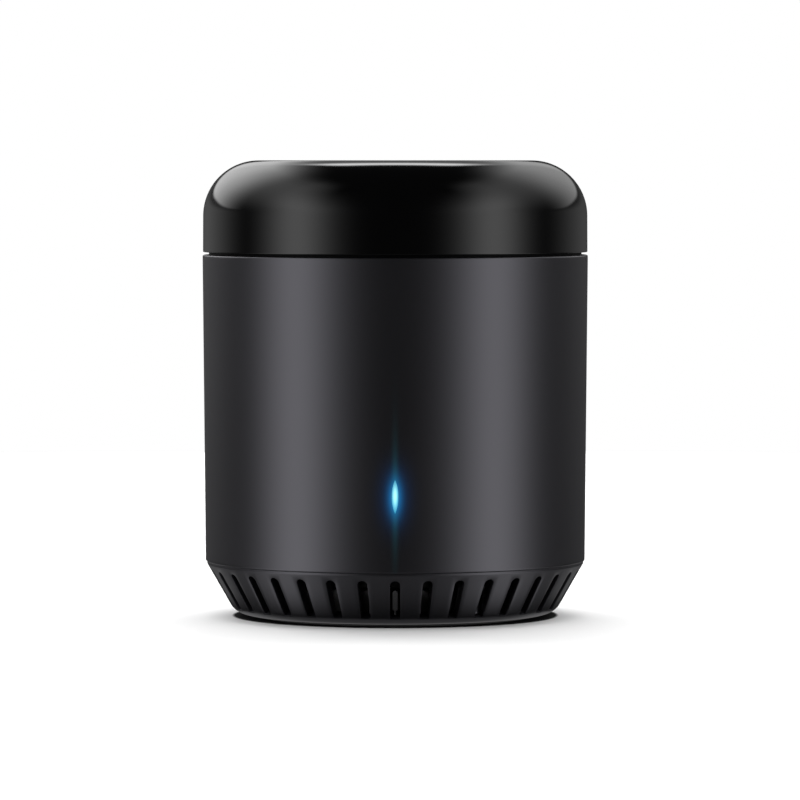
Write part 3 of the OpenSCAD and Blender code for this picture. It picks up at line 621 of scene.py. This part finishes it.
# Its three lugs carry the upper board
LUG_W = 5 * MM
LUG_T = 2.4 * MM
LUG_REACH = 5.2 * MM
LUG_ROOT = 0.4 * MM
LUG_ROUND = 0.3 * MM
LUG_ANGLES = (90, 210, 330)
NECK_STEPS = 240
NECK_EDGE = 0.1 * MM
NECK_ENTRY = 0.3 * MM
FLANGE_EDGE = 0.05 * MM
ir_low, ir_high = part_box("ir_board")
neck_bore_r = min(collar_bore_r, neck_collar_r - COLLAR_WALL)
neck_parts = [turn_round(section([
    (neck_bore_r, neck_low.z, NECK_EDGE), (collar_r, neck_low.z, NECK_ENTRY), (collar_r, sleeve_top),
    (neck_flange_r, sleeve_top, FLANGE_EDGE), (neck_flange_r, dome_z, FLANGE_EDGE), (neck_collar_r, dome_z),
    (neck_collar_r, neck_high.z, NECK_ENTRY), (neck_bore_r, neck_high.z, NECK_EDGE),
], closed=True, arc_steps=3, hold=FLANGE_EDGE), NECK_STEPS)]
for angle in LUG_ANGLES:
    lug = box_part((ir_high.x - LUG_REACH, -LUG_W / 2, ir_low.z - LUG_T),
                   (neck_bore_r + LUG_ROOT, LUG_W / 2, ir_low.z), LUG_ROUND)
    bmesh.ops.rotate(lug, verts=lug.verts[:], cent=(0, 0, 0), matrix=about(math.radians(angle)))
    neck_parts.append(lug)
neck = finish_mesh(join(neck_parts), "neck")
place(neck, "case", "inner_plastic", neck_black, "neck_ring")


# --------------------------------------------------------------------------- sleeve with its window

WINDOW_STEPS = 15
WINDOW_ROOM = 3.2 * MM
WINDOW_CUTS = 12
WINDOW_HALF = math.radians(3)
mid_wall = (bore_r + sleeve_foot_r) / 2


def spindle(w, h, steps):
    """The window's outline from two arcs that meet in a point at each end, as (across, up) pairs"""
    arc_r = (h * h + w * w) / (4 * w)
    bm = bmesh.new()
    half = math.asin(h / 2 / arc_r)
    for side in (1, -1):
        start = bm.verts.new((side * (w / 2 - arc_r + arc_r * math.cos(half)), 0, -side * h / 2))
        bmesh.ops.spin(bm, geom=[start], cent=(side * (w / 2 - arc_r), 0, 0), axis=(0, 1, 0),
                       angle=-2 * half, steps=steps)
    bmesh.ops.remove_doubles(bm, verts=bm.verts[:], dist=1e-6)
    return spots_of(bm)


sleeve_bm = section([
    (bore_r, sleeve_foot, BORE_ROUND), (sleeve_foot_r, sleeve_foot, RIM_ROUND),
    (case_r, sleeve_top, RIM_ROUND), (bore_r, sleeve_top, BORE_ROUND),
], closed=True, arc_steps=5)
for level in range(WINDOW_CUTS + 1):
    cut_level(sleeve_bm, window_z + WINDOW_ROOM * (2 * level / WINDOW_CUTS - 1))
turn_round(sleeve_bm)
hole = spindle(WINDOW_W + 2 * WINDOW_GAP, WINDOW_H + 2 * WINDOW_GAP, WINDOW_STEPS)


def near_window(face, outside):
    c = face.calc_center_median()
    out = Vector((c.x, c.y)).length
    return (abs(c.z - window_z) < WINDOW_ROOM and off_angle(azimuth(c), -math.pi / 2) < WINDOW_HALF
            and (out > mid_wall) == outside)


def on_front(spots, radius):
    """Lays a flat outline on the front of a round wall"""
    placed = []
    for p in spots:
        z = p.z + window_z
        placed.append(Vector((p.x, -math.sqrt(radius(z) ** 2 - p.x ** 2), z)))
    return placed


open_wall(sleeve_bm, lambda f: near_window(f, True), on_front(hole, sleeve_r),
          lambda f: near_window(f, False), on_front(hole, lambda z: bore_r))
sleeve = finish_mesh(sleeve_bm, "sleeve")
place(sleeve, "case", "shell_plastic", satin_sleeve, "body_sleeve")


# --------------------------------------------------------------------------- light pipe

PIPE_T = 1.8 * MM
PIPE_CORNER = 0.15 * MM
PIPE_GAP = 0.3 * MM
pipe_outer = bore_r - PIPE_GAP
pipe_w = pipe_high.x - pipe_low.x
led_low, led_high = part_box("status_led")
led_y = (led_low.y + led_high.y) / 2
pipe_bend_z = base_high.z + PIPE_GAP
pipe_bend = pipe_outer + led_y - PIPE_T / 2
pipe_side = bmesh.new()
# Its side view, as (forward, up): over the lamp, out to the sleeve, and up behind the window
rail = [
    (-led_y - PIPE_T / 2, pipe_low.z), (-led_y + PIPE_T / 2, pipe_low.z), (-led_y + PIPE_T / 2, pipe_bend_z),
    (pipe_outer, pipe_bend_z + pipe_bend), (pipe_outer, pipe_high.z), (pipe_outer - PIPE_T, pipe_high.z),
    (pipe_outer - PIPE_T, pipe_bend_z + pipe_bend), (-led_y - PIPE_T / 2, pipe_bend_z),
]
side_face = pipe_side.faces.new([pipe_side.verts.new((-pipe_w / 2, -y, z)) for y, z in rail])
grown = bmesh.ops.extrude_face_region(pipe_side, geom=[side_face])["geom"]
bmesh.ops.translate(pipe_side, vec=(pipe_w, 0, 0),
                    verts=[g for g in grown if isinstance(g, bmesh.types.BMVert)])
bmesh.ops.recalc_face_normals(pipe_side, faces=pipe_side.faces[:])
round_edges(pipe_side, pipe_side.edges[:], PIPE_CORNER, 2)

# The nib from the pipe into the window, flush with the sleeve
nib_bm = bmesh.new()
nib_rim = wire_loop(nib_bm, on_front(spindle(WINDOW_W, WINDOW_H, WINDOW_STEPS), sleeve_r))
nib_face = bmesh.ops.contextual_create(nib_bm, geom=nib_rim)["faces"]
bmesh.ops.poke(nib_bm, faces=nib_face)
for v in nib_bm.verts:
    v.co.y = -math.sqrt(sleeve_r(v.co.z) ** 2 - v.co.x ** 2)
grown = bmesh.ops.extrude_edge_only(nib_bm, edges=nib_rim)["geom"]
nib_back = -(pipe_outer - PIPE_T / 2)
for v in [g for g in grown if isinstance(g, bmesh.types.BMVert)]:
    v.co.y = nib_back
bmesh.ops.holes_fill(nib_bm, edges=[g for g in grown if isinstance(g, bmesh.types.BMEdge)])
bmesh.ops.recalc_face_normals(nib_bm, faces=nib_bm.faces[:])
light_pipe = finish_mesh(join([pipe_side, nib_bm]), "light_guide")
place(light_pipe, "case", "light_guide", window_glow, "light_pipe")


# --------------------------------------------------------------------------- slotted base

SLOT_SIDE = math.radians(3)      # half the width of wall that each slot's mesh takes the place of
ZONE_FOOT = 1.1 * MM
ZONE_TOP = lip_z - 0.12 * MM
INNER_TOP = 9.0 * MM
SLOPE_CUTS = 8
SLOPE_CUT_FOOT = 1.7 * MM
RECESS_EDGE = 0.1 * MM
FOOT_EDGE = 0.12 * MM
LIP_EDGE = 0.15 * MM
SHOULDER_EDGE = 0.08 * MM
COLLAR_ENTRY = 0.25 * MM
COLLAR_EDGE = 0.1 * MM
COLLAR_ROOT = 0.2 * MM
recess_r = pad_high.x + SLIP
inner_foot_r = base_foot_r + (floor_z - foot_proud) * slope_grade - wall_run
base_bm = section([
    (0, recess_z), (recess_r, recess_z, RECESS_EDGE), (recess_r, foot_proud, FOOT_EDGE),
    (base_foot_r, foot_proud, BASE_EDGE_R), (lip_r, lip_z, LIP_EDGE), (lip_r, sleeve_foot, SHOULDER_EDGE),
    (collar_r, sleeve_foot), (collar_r, base_high.z, COLLAR_ENTRY), (collar_bore_r, base_high.z, COLLAR_EDGE),
    (collar_bore_r, collar_foot_z, COLLAR_ROOT), (inner_foot_r, floor_z), (0, floor_z),
], closed=False, arc_steps=12, hold=0.12 * MM)
for level in range(1, SLOPE_CUTS):
    cut_level(base_bm, SLOPE_CUT_FOOT + (ZONE_TOP - SLOPE_CUT_FOOT) * level / SLOPE_CUTS)
cut_level(base_bm, INNER_TOP)
turn_round(base_bm)


def inner_r(z):
    """The radius of the base's inner wall at a height"""
    return collar_bore_r if z > collar_foot_z else slope_r(z) - wall_run


def wall_side(c):
    """'out', 'in' or None for a point of the base's sloping wall"""
    out = Vector((c.x, c.y)).length
    if ZONE_FOOT < c.z < ZONE_TOP and out > slope_r(c.z) - wall_run / 2:
        return "out"
    far = collar_bore_r + 0.05 * MM if c.z > collar_foot_z else slope_r(c.z) - wall_run / 2
    if floor_z + 1e-5 < c.z < INNER_TOP and collar_bore_r - 2 * MM - wall_run < out < far:
        return "in"
    return None


# The slot's outline, flat: across, and up along the slope from its foot
HALF_CIRCLE = 0.999     # two corners rounded by a little less than half the width
RIM_STEP = 0.5 * MM
slot_long = (slot_top - SLOT_FOOT) / math.cos(slope_angle)
slot_flat = rounded_outline(SLOT_W / 2, 0, slot_long, 0.15 * MM, SLOT_W / 2 * HALF_CIRCLE, 2, 7, 0.6 * MM)


def slot_rims(angle):
    """The slot's rim on the outside and on the inside of the wall, at one place round the base"""
    outer, inner = [], []
    for p in slot_flat:
        z = SLOT_FOOT + p.z * math.cos(slope_angle)
        r = slope_r(z)
        outer.append(about(angle) @ Vector((math.sqrt(r * r - p.x * p.x), p.x, z)))
        depth = BASE_WALL
        if z + depth * math.sin(slope_angle) > collar_foot_z:
            depth = (r - collar_bore_r) / math.cos(slope_angle)
        r_in = r - depth * math.cos(slope_angle)
        z_in = max(z + depth * math.sin(slope_angle), floor_z + 0.06 * MM)
        inner.append(about(angle) @ Vector((math.sqrt(r_in * r_in - p.x * p.x), p.x, z_in)))
    return outer, inner


# The wall's faces by side and by half degree
by_side = {"out": {}, "in": {}}
for f in base_bm.faces:
    c = f.calc_center_median()
    side = wall_side(c)
    if side:
        by_side[side].setdefault(round(math.degrees(azimuth(c)) * 2) / 2 % 360, []).append(f)


def take_out(side, angle, reach):
    """Takes the faces near an azimuth out of one side of the wall, and gives the edges round the gap"""
    gone = [f for degrees, faces in by_side[side].items()
            if off_angle(math.radians(degrees), angle) < reach for f in faces]
    uses = {}
    for f in gone:
        for e in f.edges:
            uses[e] = uses.get(e, 0) + 1
    bmesh.ops.delete(base_bm, geom=gone, context="FACES_ONLY")
    bmesh.ops.delete(base_bm, geom=[e for e, n in uses.items() if n > 1], context="EDGES")
    return [e for e, n in uses.items() if n == 1]


slot_edges = []
for degrees in range(0, 360, SLOT_STEP):
    if degrees in SLOTS_LEFT_OUT:
        continue
    angle = math.radians(degrees)
    loops = []
    for side, spots in zip(("out", "in"), slot_rims(angle)):
        ring = take_out(side, angle, SLOT_SIDE)
        loops.append(wire_loop(base_bm, spots))
        bmesh.ops.bridge_loops(base_bm, edges=ring + loops[-1])
    bmesh.ops.bridge_loops(base_bm, edges=loops[0] + loops[1])
    slot_edges += loops[0]

# The inlet pocket: its mouth on the slope, and its back with the socket's opening
POCKET_REACH = math.radians(16.6)
POCKET_ROUND = 0.6 * MM
SOCKET_TOP_ROUND = 0.7 * MM
SOCKET_FOOT_ROUND = 0.2 * MM
REAR = math.pi / 2
pocket_inner_y = pocket_y - POCKET_SKIN


def on_rear(spots, radius):
    """Lays a flat outline on the rear of a round wall"""
    return [Vector((p.x, math.sqrt(radius(p.z) ** 2 - p.x ** 2), p.z)) for p in spots]


mouth_flat = rounded_outline(POCKET_W / 2, pocket_foot, pocket_top, POCKET_ROUND, POCKET_ROUND, 4, 4,
                             RIM_STEP)
ring = take_out("out", REAR, POCKET_REACH)
mouth_rim = wire_loop(base_bm, on_rear(mouth_flat, slope_r))
bmesh.ops.bridge_loops(base_bm, edges=ring + mouth_rim)
back_rim = wire_loop(base_bm, [Vector((p.x, pocket_y, p.z)) for p in mouth_flat])
bmesh.ops.bridge_loops(base_bm, edges=mouth_rim + back_rim)
socket_w = (shell_high.x - shell_low.x) / 2 + USB_SLACK
socket_h = (shell_high.z - shell_low.z) / 2 + USB_SLACK
socket_flat = rounded_outline(socket_w, -socket_h, socket_h, SOCKET_FOOT_ROUND, SOCKET_TOP_ROUND, 4, 4,
                              RIM_STEP)
socket_rim = wire_loop(base_bm, [Vector((p.x, pocket_y, p.z + inlet_z)) for p in socket_flat])
bmesh.ops.triangle_fill(base_bm, use_beauty=True, edges=back_rim + socket_rim, normal=(0, 1, 0))
socket_end = wire_loop(base_bm, [Vector((p.x, pocket_inner_y, p.z + inlet_z)) for p in socket_flat])
bmesh.ops.bridge_loops(base_bm, edges=socket_rim + socket_end)

# The pocket's skin inside the base, from the inner wall to its back, where the socket comes through
POCKET_SIDE_T = 0.8 * MM
SKIN_FOOT_GAP = 0.1 * MM
skin_flat = rounded_outline(POCKET_W / 2 + POCKET_SIDE_T, floor_z + SKIN_FOOT_GAP, pocket_top + POCKET_SIDE_T,
                            POCKET_ROUND, POCKET_ROUND, 4, 4, RIM_STEP)
ring = take_out("in", REAR, POCKET_REACH)
skin_rim = wire_loop(base_bm, on_rear(skin_flat, inner_r))
bmesh.ops.bridge_loops(base_bm, edges=ring + skin_rim)
skin_back = wire_loop(base_bm, [Vector((p.x, pocket_inner_y, p.z)) for p in skin_flat])
bmesh.ops.bridge_loops(base_bm, edges=skin_rim + skin_back)
bmesh.ops.triangle_fill(base_bm, use_beauty=True, edges=skin_back + socket_end, normal=(0, -1, 0))
bmesh.ops.recalc_face_normals(base_bm, faces=base_bm.faces[:])
OPENING_EDGE = 0.07 * MM
round_edges(base_bm, [e for e in slot_edges + mouth_rim if e.is_valid], OPENING_EDGE, 2, clamp=True)
slotted_base = finish_mesh(base_bm, "slotted_base")
place(slotted_base, "case", "shell_plastic", satin_base, "vent_base")


# ------------------------------------------------------------------- posts and guide walls in the base

POST_R = 2.4 * MM
POST_INSET = 0.9 * MM
POST_EDGE = 0.15 * MM
PILOT_R = 0.85 * MM
POST_ANGLES = (60, 180, 300)
GUIDE_GAP = 0.2 * MM
GUIDE_T = 0.8 * MM
GUIDE_ROOT = 0.3 * MM
GUIDE_H = 1.5 * MM
GUIDE_EDGE = 0.1 * MM
GUIDE_BACK = 20.4 * MM
post_place = board_high.x - POST_R - POST_INSET
root_z = floor_z - FLOOR_T / 2
fittings = []
for angle in POST_ANGLES:
    post = turn_round(section([(PILOT_R, root_z), (POST_R, root_z), (POST_R, board_low.z, POST_EDGE),
                               (PILOT_R, board_low.z, POST_EDGE)], closed=True, arc_steps=3), 48)
    bmesh.ops.translate(post, vec=about(math.radians(angle)) @ Vector((post_place, 0, 0)),
                        verts=post.verts[:])
    fittings.append(post)
guide_in = key_high.x + GUIDE_GAP
guide_far = math.sqrt((slope_r(floor_z) - wall_run) ** 2 - guide_in ** 2)
for side in (-1, 1):
    xs = sorted((side * guide_in, side * (guide_in + GUIDE_T)))
    fittings.append(box_part((xs[0], -guide_far - GUIDE_ROOT, root_z),
                             (xs[1], -GUIDE_BACK, floor_z + GUIDE_H), GUIDE_EDGE))
base_fittings = finish_mesh(join(fittings), "base_posts_and_guides")
place(base_fittings, "case", "shell_plastic", satin_base, "vent_base")


# --------------------------------------------------------------------------- foot pad

PAD_STEPS = 240
PAD_EDGE = 0.15 * MM
PAD_TOP_EDGE = 0.1 * MM
GROOVE_INSET = 2 * MM
GROOVE_W = 0.6 * MM
GROOVE_T = 0.25 * MM
GROOVE_EDGE = 0.05 * MM
pad_r = pad_high.x
groove_r = pad_r - GROOVE_INSET
groove_in_r = groove_r - GROOVE_W
foot = finish_mesh(turn_round(section([
    (0, pad_high.z), (pad_r, pad_high.z, PAD_TOP_EDGE), (pad_r, 0, PAD_EDGE), (groove_r, 0, GROOVE_EDGE),
    (groove_r, GROOVE_T, GROOVE_EDGE), (groove_in_r, GROOVE_T, GROOVE_EDGE), (groove_in_r, 0, GROOVE_EDGE),
    (0, 0),
], closed=False, arc_steps=4, hold=0.1 * MM), PAD_STEPS), "foot")
place(foot, "case", "foot_rubber", pad_rubber, "foot_pad")


# --------------------------------------------------------------------------- reset key

NIB_W = 0.8 * MM
NIB_H = 3 * MM
NIB_RECESS = 0.4 * MM
NIB_EDGE = 0.1 * MM
FIN_W = 0.24 * MM
FIN_DEPTH = 1 * MM
FIN_SINK = 0.02 * MM
FIN_EDGE = 0.05 * MM
KEY_T = 0.8 * MM
KEY_EDGE = 0.12 * MM
KEY_GAP = 0.25 * MM
KEY_WALL_GAP = 0.2 * MM
plate_w = key_high.x
plate_foot = floor_z + KEY_GAP
plate_h = board_low.z - floor_z - 2 * KEY_GAP
plate_face = math.sqrt((slope_r(plate_foot) - wall_run - KEY_WALL_GAP) ** 2 - plate_w ** 2)
nib_foot = plate_foot + (plate_h - NIB_H) / 2
set_back = NIB_RECESS / math.cos(slope_angle)
plate = box_part((-plate_w, -plate_face, plate_foot), (plate_w, -plate_face + KEY_T, plate_foot + plate_h),
                 KEY_EDGE)
nib_round = NIB_W / 2 * HALF_CIRCLE
pill_flat = rounded_outline(NIB_W / 2, nib_foot, nib_foot + NIB_H, nib_round, nib_round, 6, 6)
nib = bmesh.new()
nib_front = wire_loop(nib, [Vector((p.x, -(slope_r(p.z) - set_back), p.z)) for p in pill_flat])
nib_root = wire_loop(nib, [Vector((p.x, -plate_face + KEY_T / 2, p.z)) for p in pill_flat])
bmesh.ops.bridge_loops(nib, edges=nib_front + nib_root)
bmesh.ops.holes_fill(nib, edges=nib_front)
bmesh.ops.holes_fill(nib, edges=nib_root)
bmesh.ops.recalc_face_normals(nib, faces=nib.faces[:])
round_edges(nib, [e for e in nib_front if e.is_valid], NIB_EDGE, 3)
fin_foot = key_low.z
fin_l = (nib_foot + NIB_W / 2 - fin_foot) / math.cos(slope_angle)
fin = box_part((-FIN_W / 2, 0, 0), (FIN_W / 2, FIN_DEPTH, fin_l), FIN_EDGE)
bmesh.ops.rotate(fin, verts=fin.verts[:], cent=(0, 0, 0), matrix=Matrix.Rotation(slope_angle, 3, "X"))
bmesh.ops.translate(fin, vec=(0, -(slope_r(fin_foot) - set_back) + FIN_SINK, fin_foot), verts=fin.verts[:])
key = finish_mesh(join([plate, nib, fin]), "reset_key_cap")
place(key, "reset_button", "key_plastic", key_grey, "reset_key")


# --------------------------------------------------------------------------- inlet shell

SHEET_T = 0.3 * MM
SHEET_EDGE = 0.06 * MM
SHELL_TOP_ROUND = 0.85 * MM
SHELL_FOOT_ROUND = 0.35 * MM
half_x, half_z = (shell_high.x - shell_low.x) / 2, (shell_high.z - shell_low.z) / 2
inlet_flat = rounded_outline(half_x, -half_z, half_z, SHELL_FOOT_ROUND, SHELL_TOP_ROUND, 5, 5)
inlet_bm = bmesh.new()


def inlet_loop(y, inset):
    """The shell's outline at a depth, set in by the sheet's thickness or not"""
    return wire_loop(inlet_bm, [Vector((p.x * (1 - inset / half_x), y, inlet_z + p.z * (1 - inset / half_z)))
                                for p in inlet_flat])


outer_back = inlet_loop(shell_low.y, 0)
outer_front = inlet_loop(shell_high.y, 0)
inner_front = inlet_loop(shell_high.y, SHEET_T)
inner_back = inlet_loop(shell_low.y + SHEET_T, SHEET_T)
for a, b in ((outer_back, outer_front), (outer_front, inner_front), (inner_front, inner_back)):
    bmesh.ops.bridge_loops(inlet_bm, edges=a + b)
bmesh.ops.holes_fill(inlet_bm, edges=outer_back)
bmesh.ops.holes_fill(inlet_bm, edges=inner_back)
bmesh.ops.recalc_face_normals(inlet_bm, faces=inlet_bm.faces[:])
round_edges(inlet_bm, [e for e in outer_front + inner_front if e.is_valid], SHEET_EDGE, 2)
inlet_shell = finish_mesh(inlet_bm, "inlet_shell")
place(inlet_shell, "case", "connector_steel", plated_steel, "usb_shell")


# --------------------------------------------------------------------------- floor, lamps and world

FLOOR_R = 0.45
FLOOR_DROP = 0.01 * MM
floor_bm = bmesh.new()
bmesh.ops.create_circle(floor_bm, cap_ends=True, radius=FLOOR_R, segments=96)
bmesh.ops.translate(floor_bm, vec=(0, 0, -FLOOR_DROP), verts=floor_bm.verts[:])
floor = finish_mesh(floor_bm, "floor")


# The camera sees a white matt floor with the object's shadow from the floor lamps, and right under the base's
# edge a painted shadow, where the floor's colour goes dark. To other rays, and from below, it is clear, so
# that the studio's strips go on below the object as in the photograph. Only a ring close round the base is
# there for them too, painted dark as a stand-in for the shadow, and it darkens the slope's foot.
FLOOR_TONE = 0.91
floor_white = bpy.data.materials.new("floor_white")
ground = Tree(floor_white)
spot, (x, y, z) = ground.places()
radius = (x * x + y * y) ** 0.5
# Painted shadow: inside this edge, just under the base, the floor's colour goes dark for the camera
painted_shade_edge = ground.ease(radius, base_foot_r + 0.1 * MM, base_foot_r + 0.7 * MM)
# The ring round the base where other rays see the floor, painted dark as a shadow
near = painted_shade_edge * ground.ease(radius, base_foot_r + 7 * MM, base_foot_r + 0.5 * MM)
white = ground.blend(ground.noise(spot, 40, 2), rgb(0.90, 0.90, 0.90), rgb(0.92, 0.92, 0.92))
to_camera = ground.node("ShaderNodeLightPath", out="Is Camera Ray")
# The floor's colour: white with the painted shadow under the base for the camera, and dark for other rays
paint = ground.node("ShaderNodeBsdfPrincipled", {}, {
    "Base Color": ground.blend(painted_shade_edge * to_camera, rgb(0.03, 0.03, 0.03), white), "Roughness": 1.0,
    "Specular IOR Level": 0.0})
from_above = 1 - ground.node("ShaderNodeNewGeometry", out="Backfacing")
ground.node("ShaderNodeOutputMaterial", {}, {"Surface": ground.node("ShaderNodeMixShader", {}, {
    0: from_above * (to_camera + (1 - to_camera) * near),
    1: ground.node("ShaderNodeBsdfTransparent"), 2: paint})})
floor.data.materials.append(floor_white)

# Two wide lamps shine on the floor alone: one nearly overhead, one from behind. Each gives its share of
# white.
LAMPS = (("floor_lamp_above", -10, 0.40), ("floor_lamp_behind", 50, 0.58))
LAMP_WIDTH = 80
lit = bpy.data.collections.new("floor_only")
lit.objects.link(floor)
for name, tilt, white_share in LAMPS:
    lamp = bpy.data.objects.new(name, bpy.data.lights.new(name, "SUN"))
    lamp.data.energy = white_share * math.pi / FLOOR_TONE / math.cos(math.radians(tilt))
    lamp.data.angle = math.radians(LAMP_WIDTH)
    lamp.rotation_euler = (math.radians(-tilt), 0, 0)
    bpy.context.scene.collection.objects.link(lamp)
    lamp.light_linking.receiver_collection = lit

# The studio, by direction in degrees: side is 0 towards the camera and 180 behind the object, and high is
# 0 at the horizon. The object alone sees it; the camera sees white.
STRIP_SIDE = 60.6
STRIP_SPREAD = 13.9
TOP_HIGH = 42
TOP_SPREAD = 4.4
DARK_STUDIO = 0.018
DEG = math.radians(1)
world = bpy.data.worlds.new("studio")
bpy.context.scene.world = world
sky = Tree(world)
ray = sky.node("ShaderNodeTexCoord", out="Generated")
wx, wy, wz = [sky.node("ShaderNodeSeparateXYZ", {}, {0: ray}, out=i) for i in range(3)]
side = abs(wx.math("ARCTAN2", wx, wy * -1)) / DEG
high = wx.math("ARCSINE", wz) / DEG
behind = 180 - side
is_left = sky.ease(wx, -0.05, 0.05, 1, 0)
inner = sky.ease(abs(wx) / wx.math("MAXIMUM", wz, 0.01) ** 1.8, 0.27, 0.75)

# Two tall soft strips beside the camera, which lean outward above and below
deep = wx.math("MAXIMUM", high * -1 - 12, 0)
lean = wx.math("MAXIMUM", high - 12, 0) * 0.22 + deep * 0.75
strips = (sky.bell(side, lean + STRIP_SIDE, deep * 0.12 + STRIP_SPREAD) * sky.ease(high, 56, 14)
          * sky.ease(high, -68, -28, 0.08, 1) * (is_left * 0.05 + 1.59))

# A fainter field that joins each strip to the panel behind it, and the panels with their lower edge
bridge = (sky.ease(side, 42, 84) * sky.ease(high, 4, 50) * sky.ease(high, 72, 48) * inner
          * (is_left * 0.14 + 0.74))
panel_foot = high - sky.ease(side, 120, 145, 8.2, 10.4)
panels = (sky.ease(side, 103, 140) * sky.ease(side, 205, 145) * sky.ease(panel_foot, -1.2, 1.2)
          * sky.ease(high, 66, 26) * inner * (is_left * 0.86 + 0.66))
horizon = (sky.ease(side, 96, 132) * sky.ease(side, 185, 135) * sky.ease(high, 10, 4)
           * sky.ease(high, -4, -2) * (is_left * 0.09 + 0.18))

# A strip high up behind the object, which the dome's flat top shows, and a soft glow from below
top_strip = ((sky.bell(high, TOP_HIGH, TOP_SPREAD) * 3.9 + sky.ease(high, 8, 14) * 0.22)
             * sky.ease(high, 52, 46) * sky.ease(behind, 14, 8))
below = sky.ease(high, -20, -55) * 0.13 + sky.bell(high, -24, 8) * sky.ease(behind, 50, 20) * 0.5
studio = strips + bridge + panels + horizon + top_strip + below + DARK_STUDIO
seen = sky.node("ShaderNodeLightPath", out="Is Camera Ray")
glow = sky.node("ShaderNodeBackground", {}, {"Color": rgb(1, 1, 1), "Strength": seen + (1 - seen) * studio})
sky.node("ShaderNodeOutputWorld", {}, {"Surface": glow})
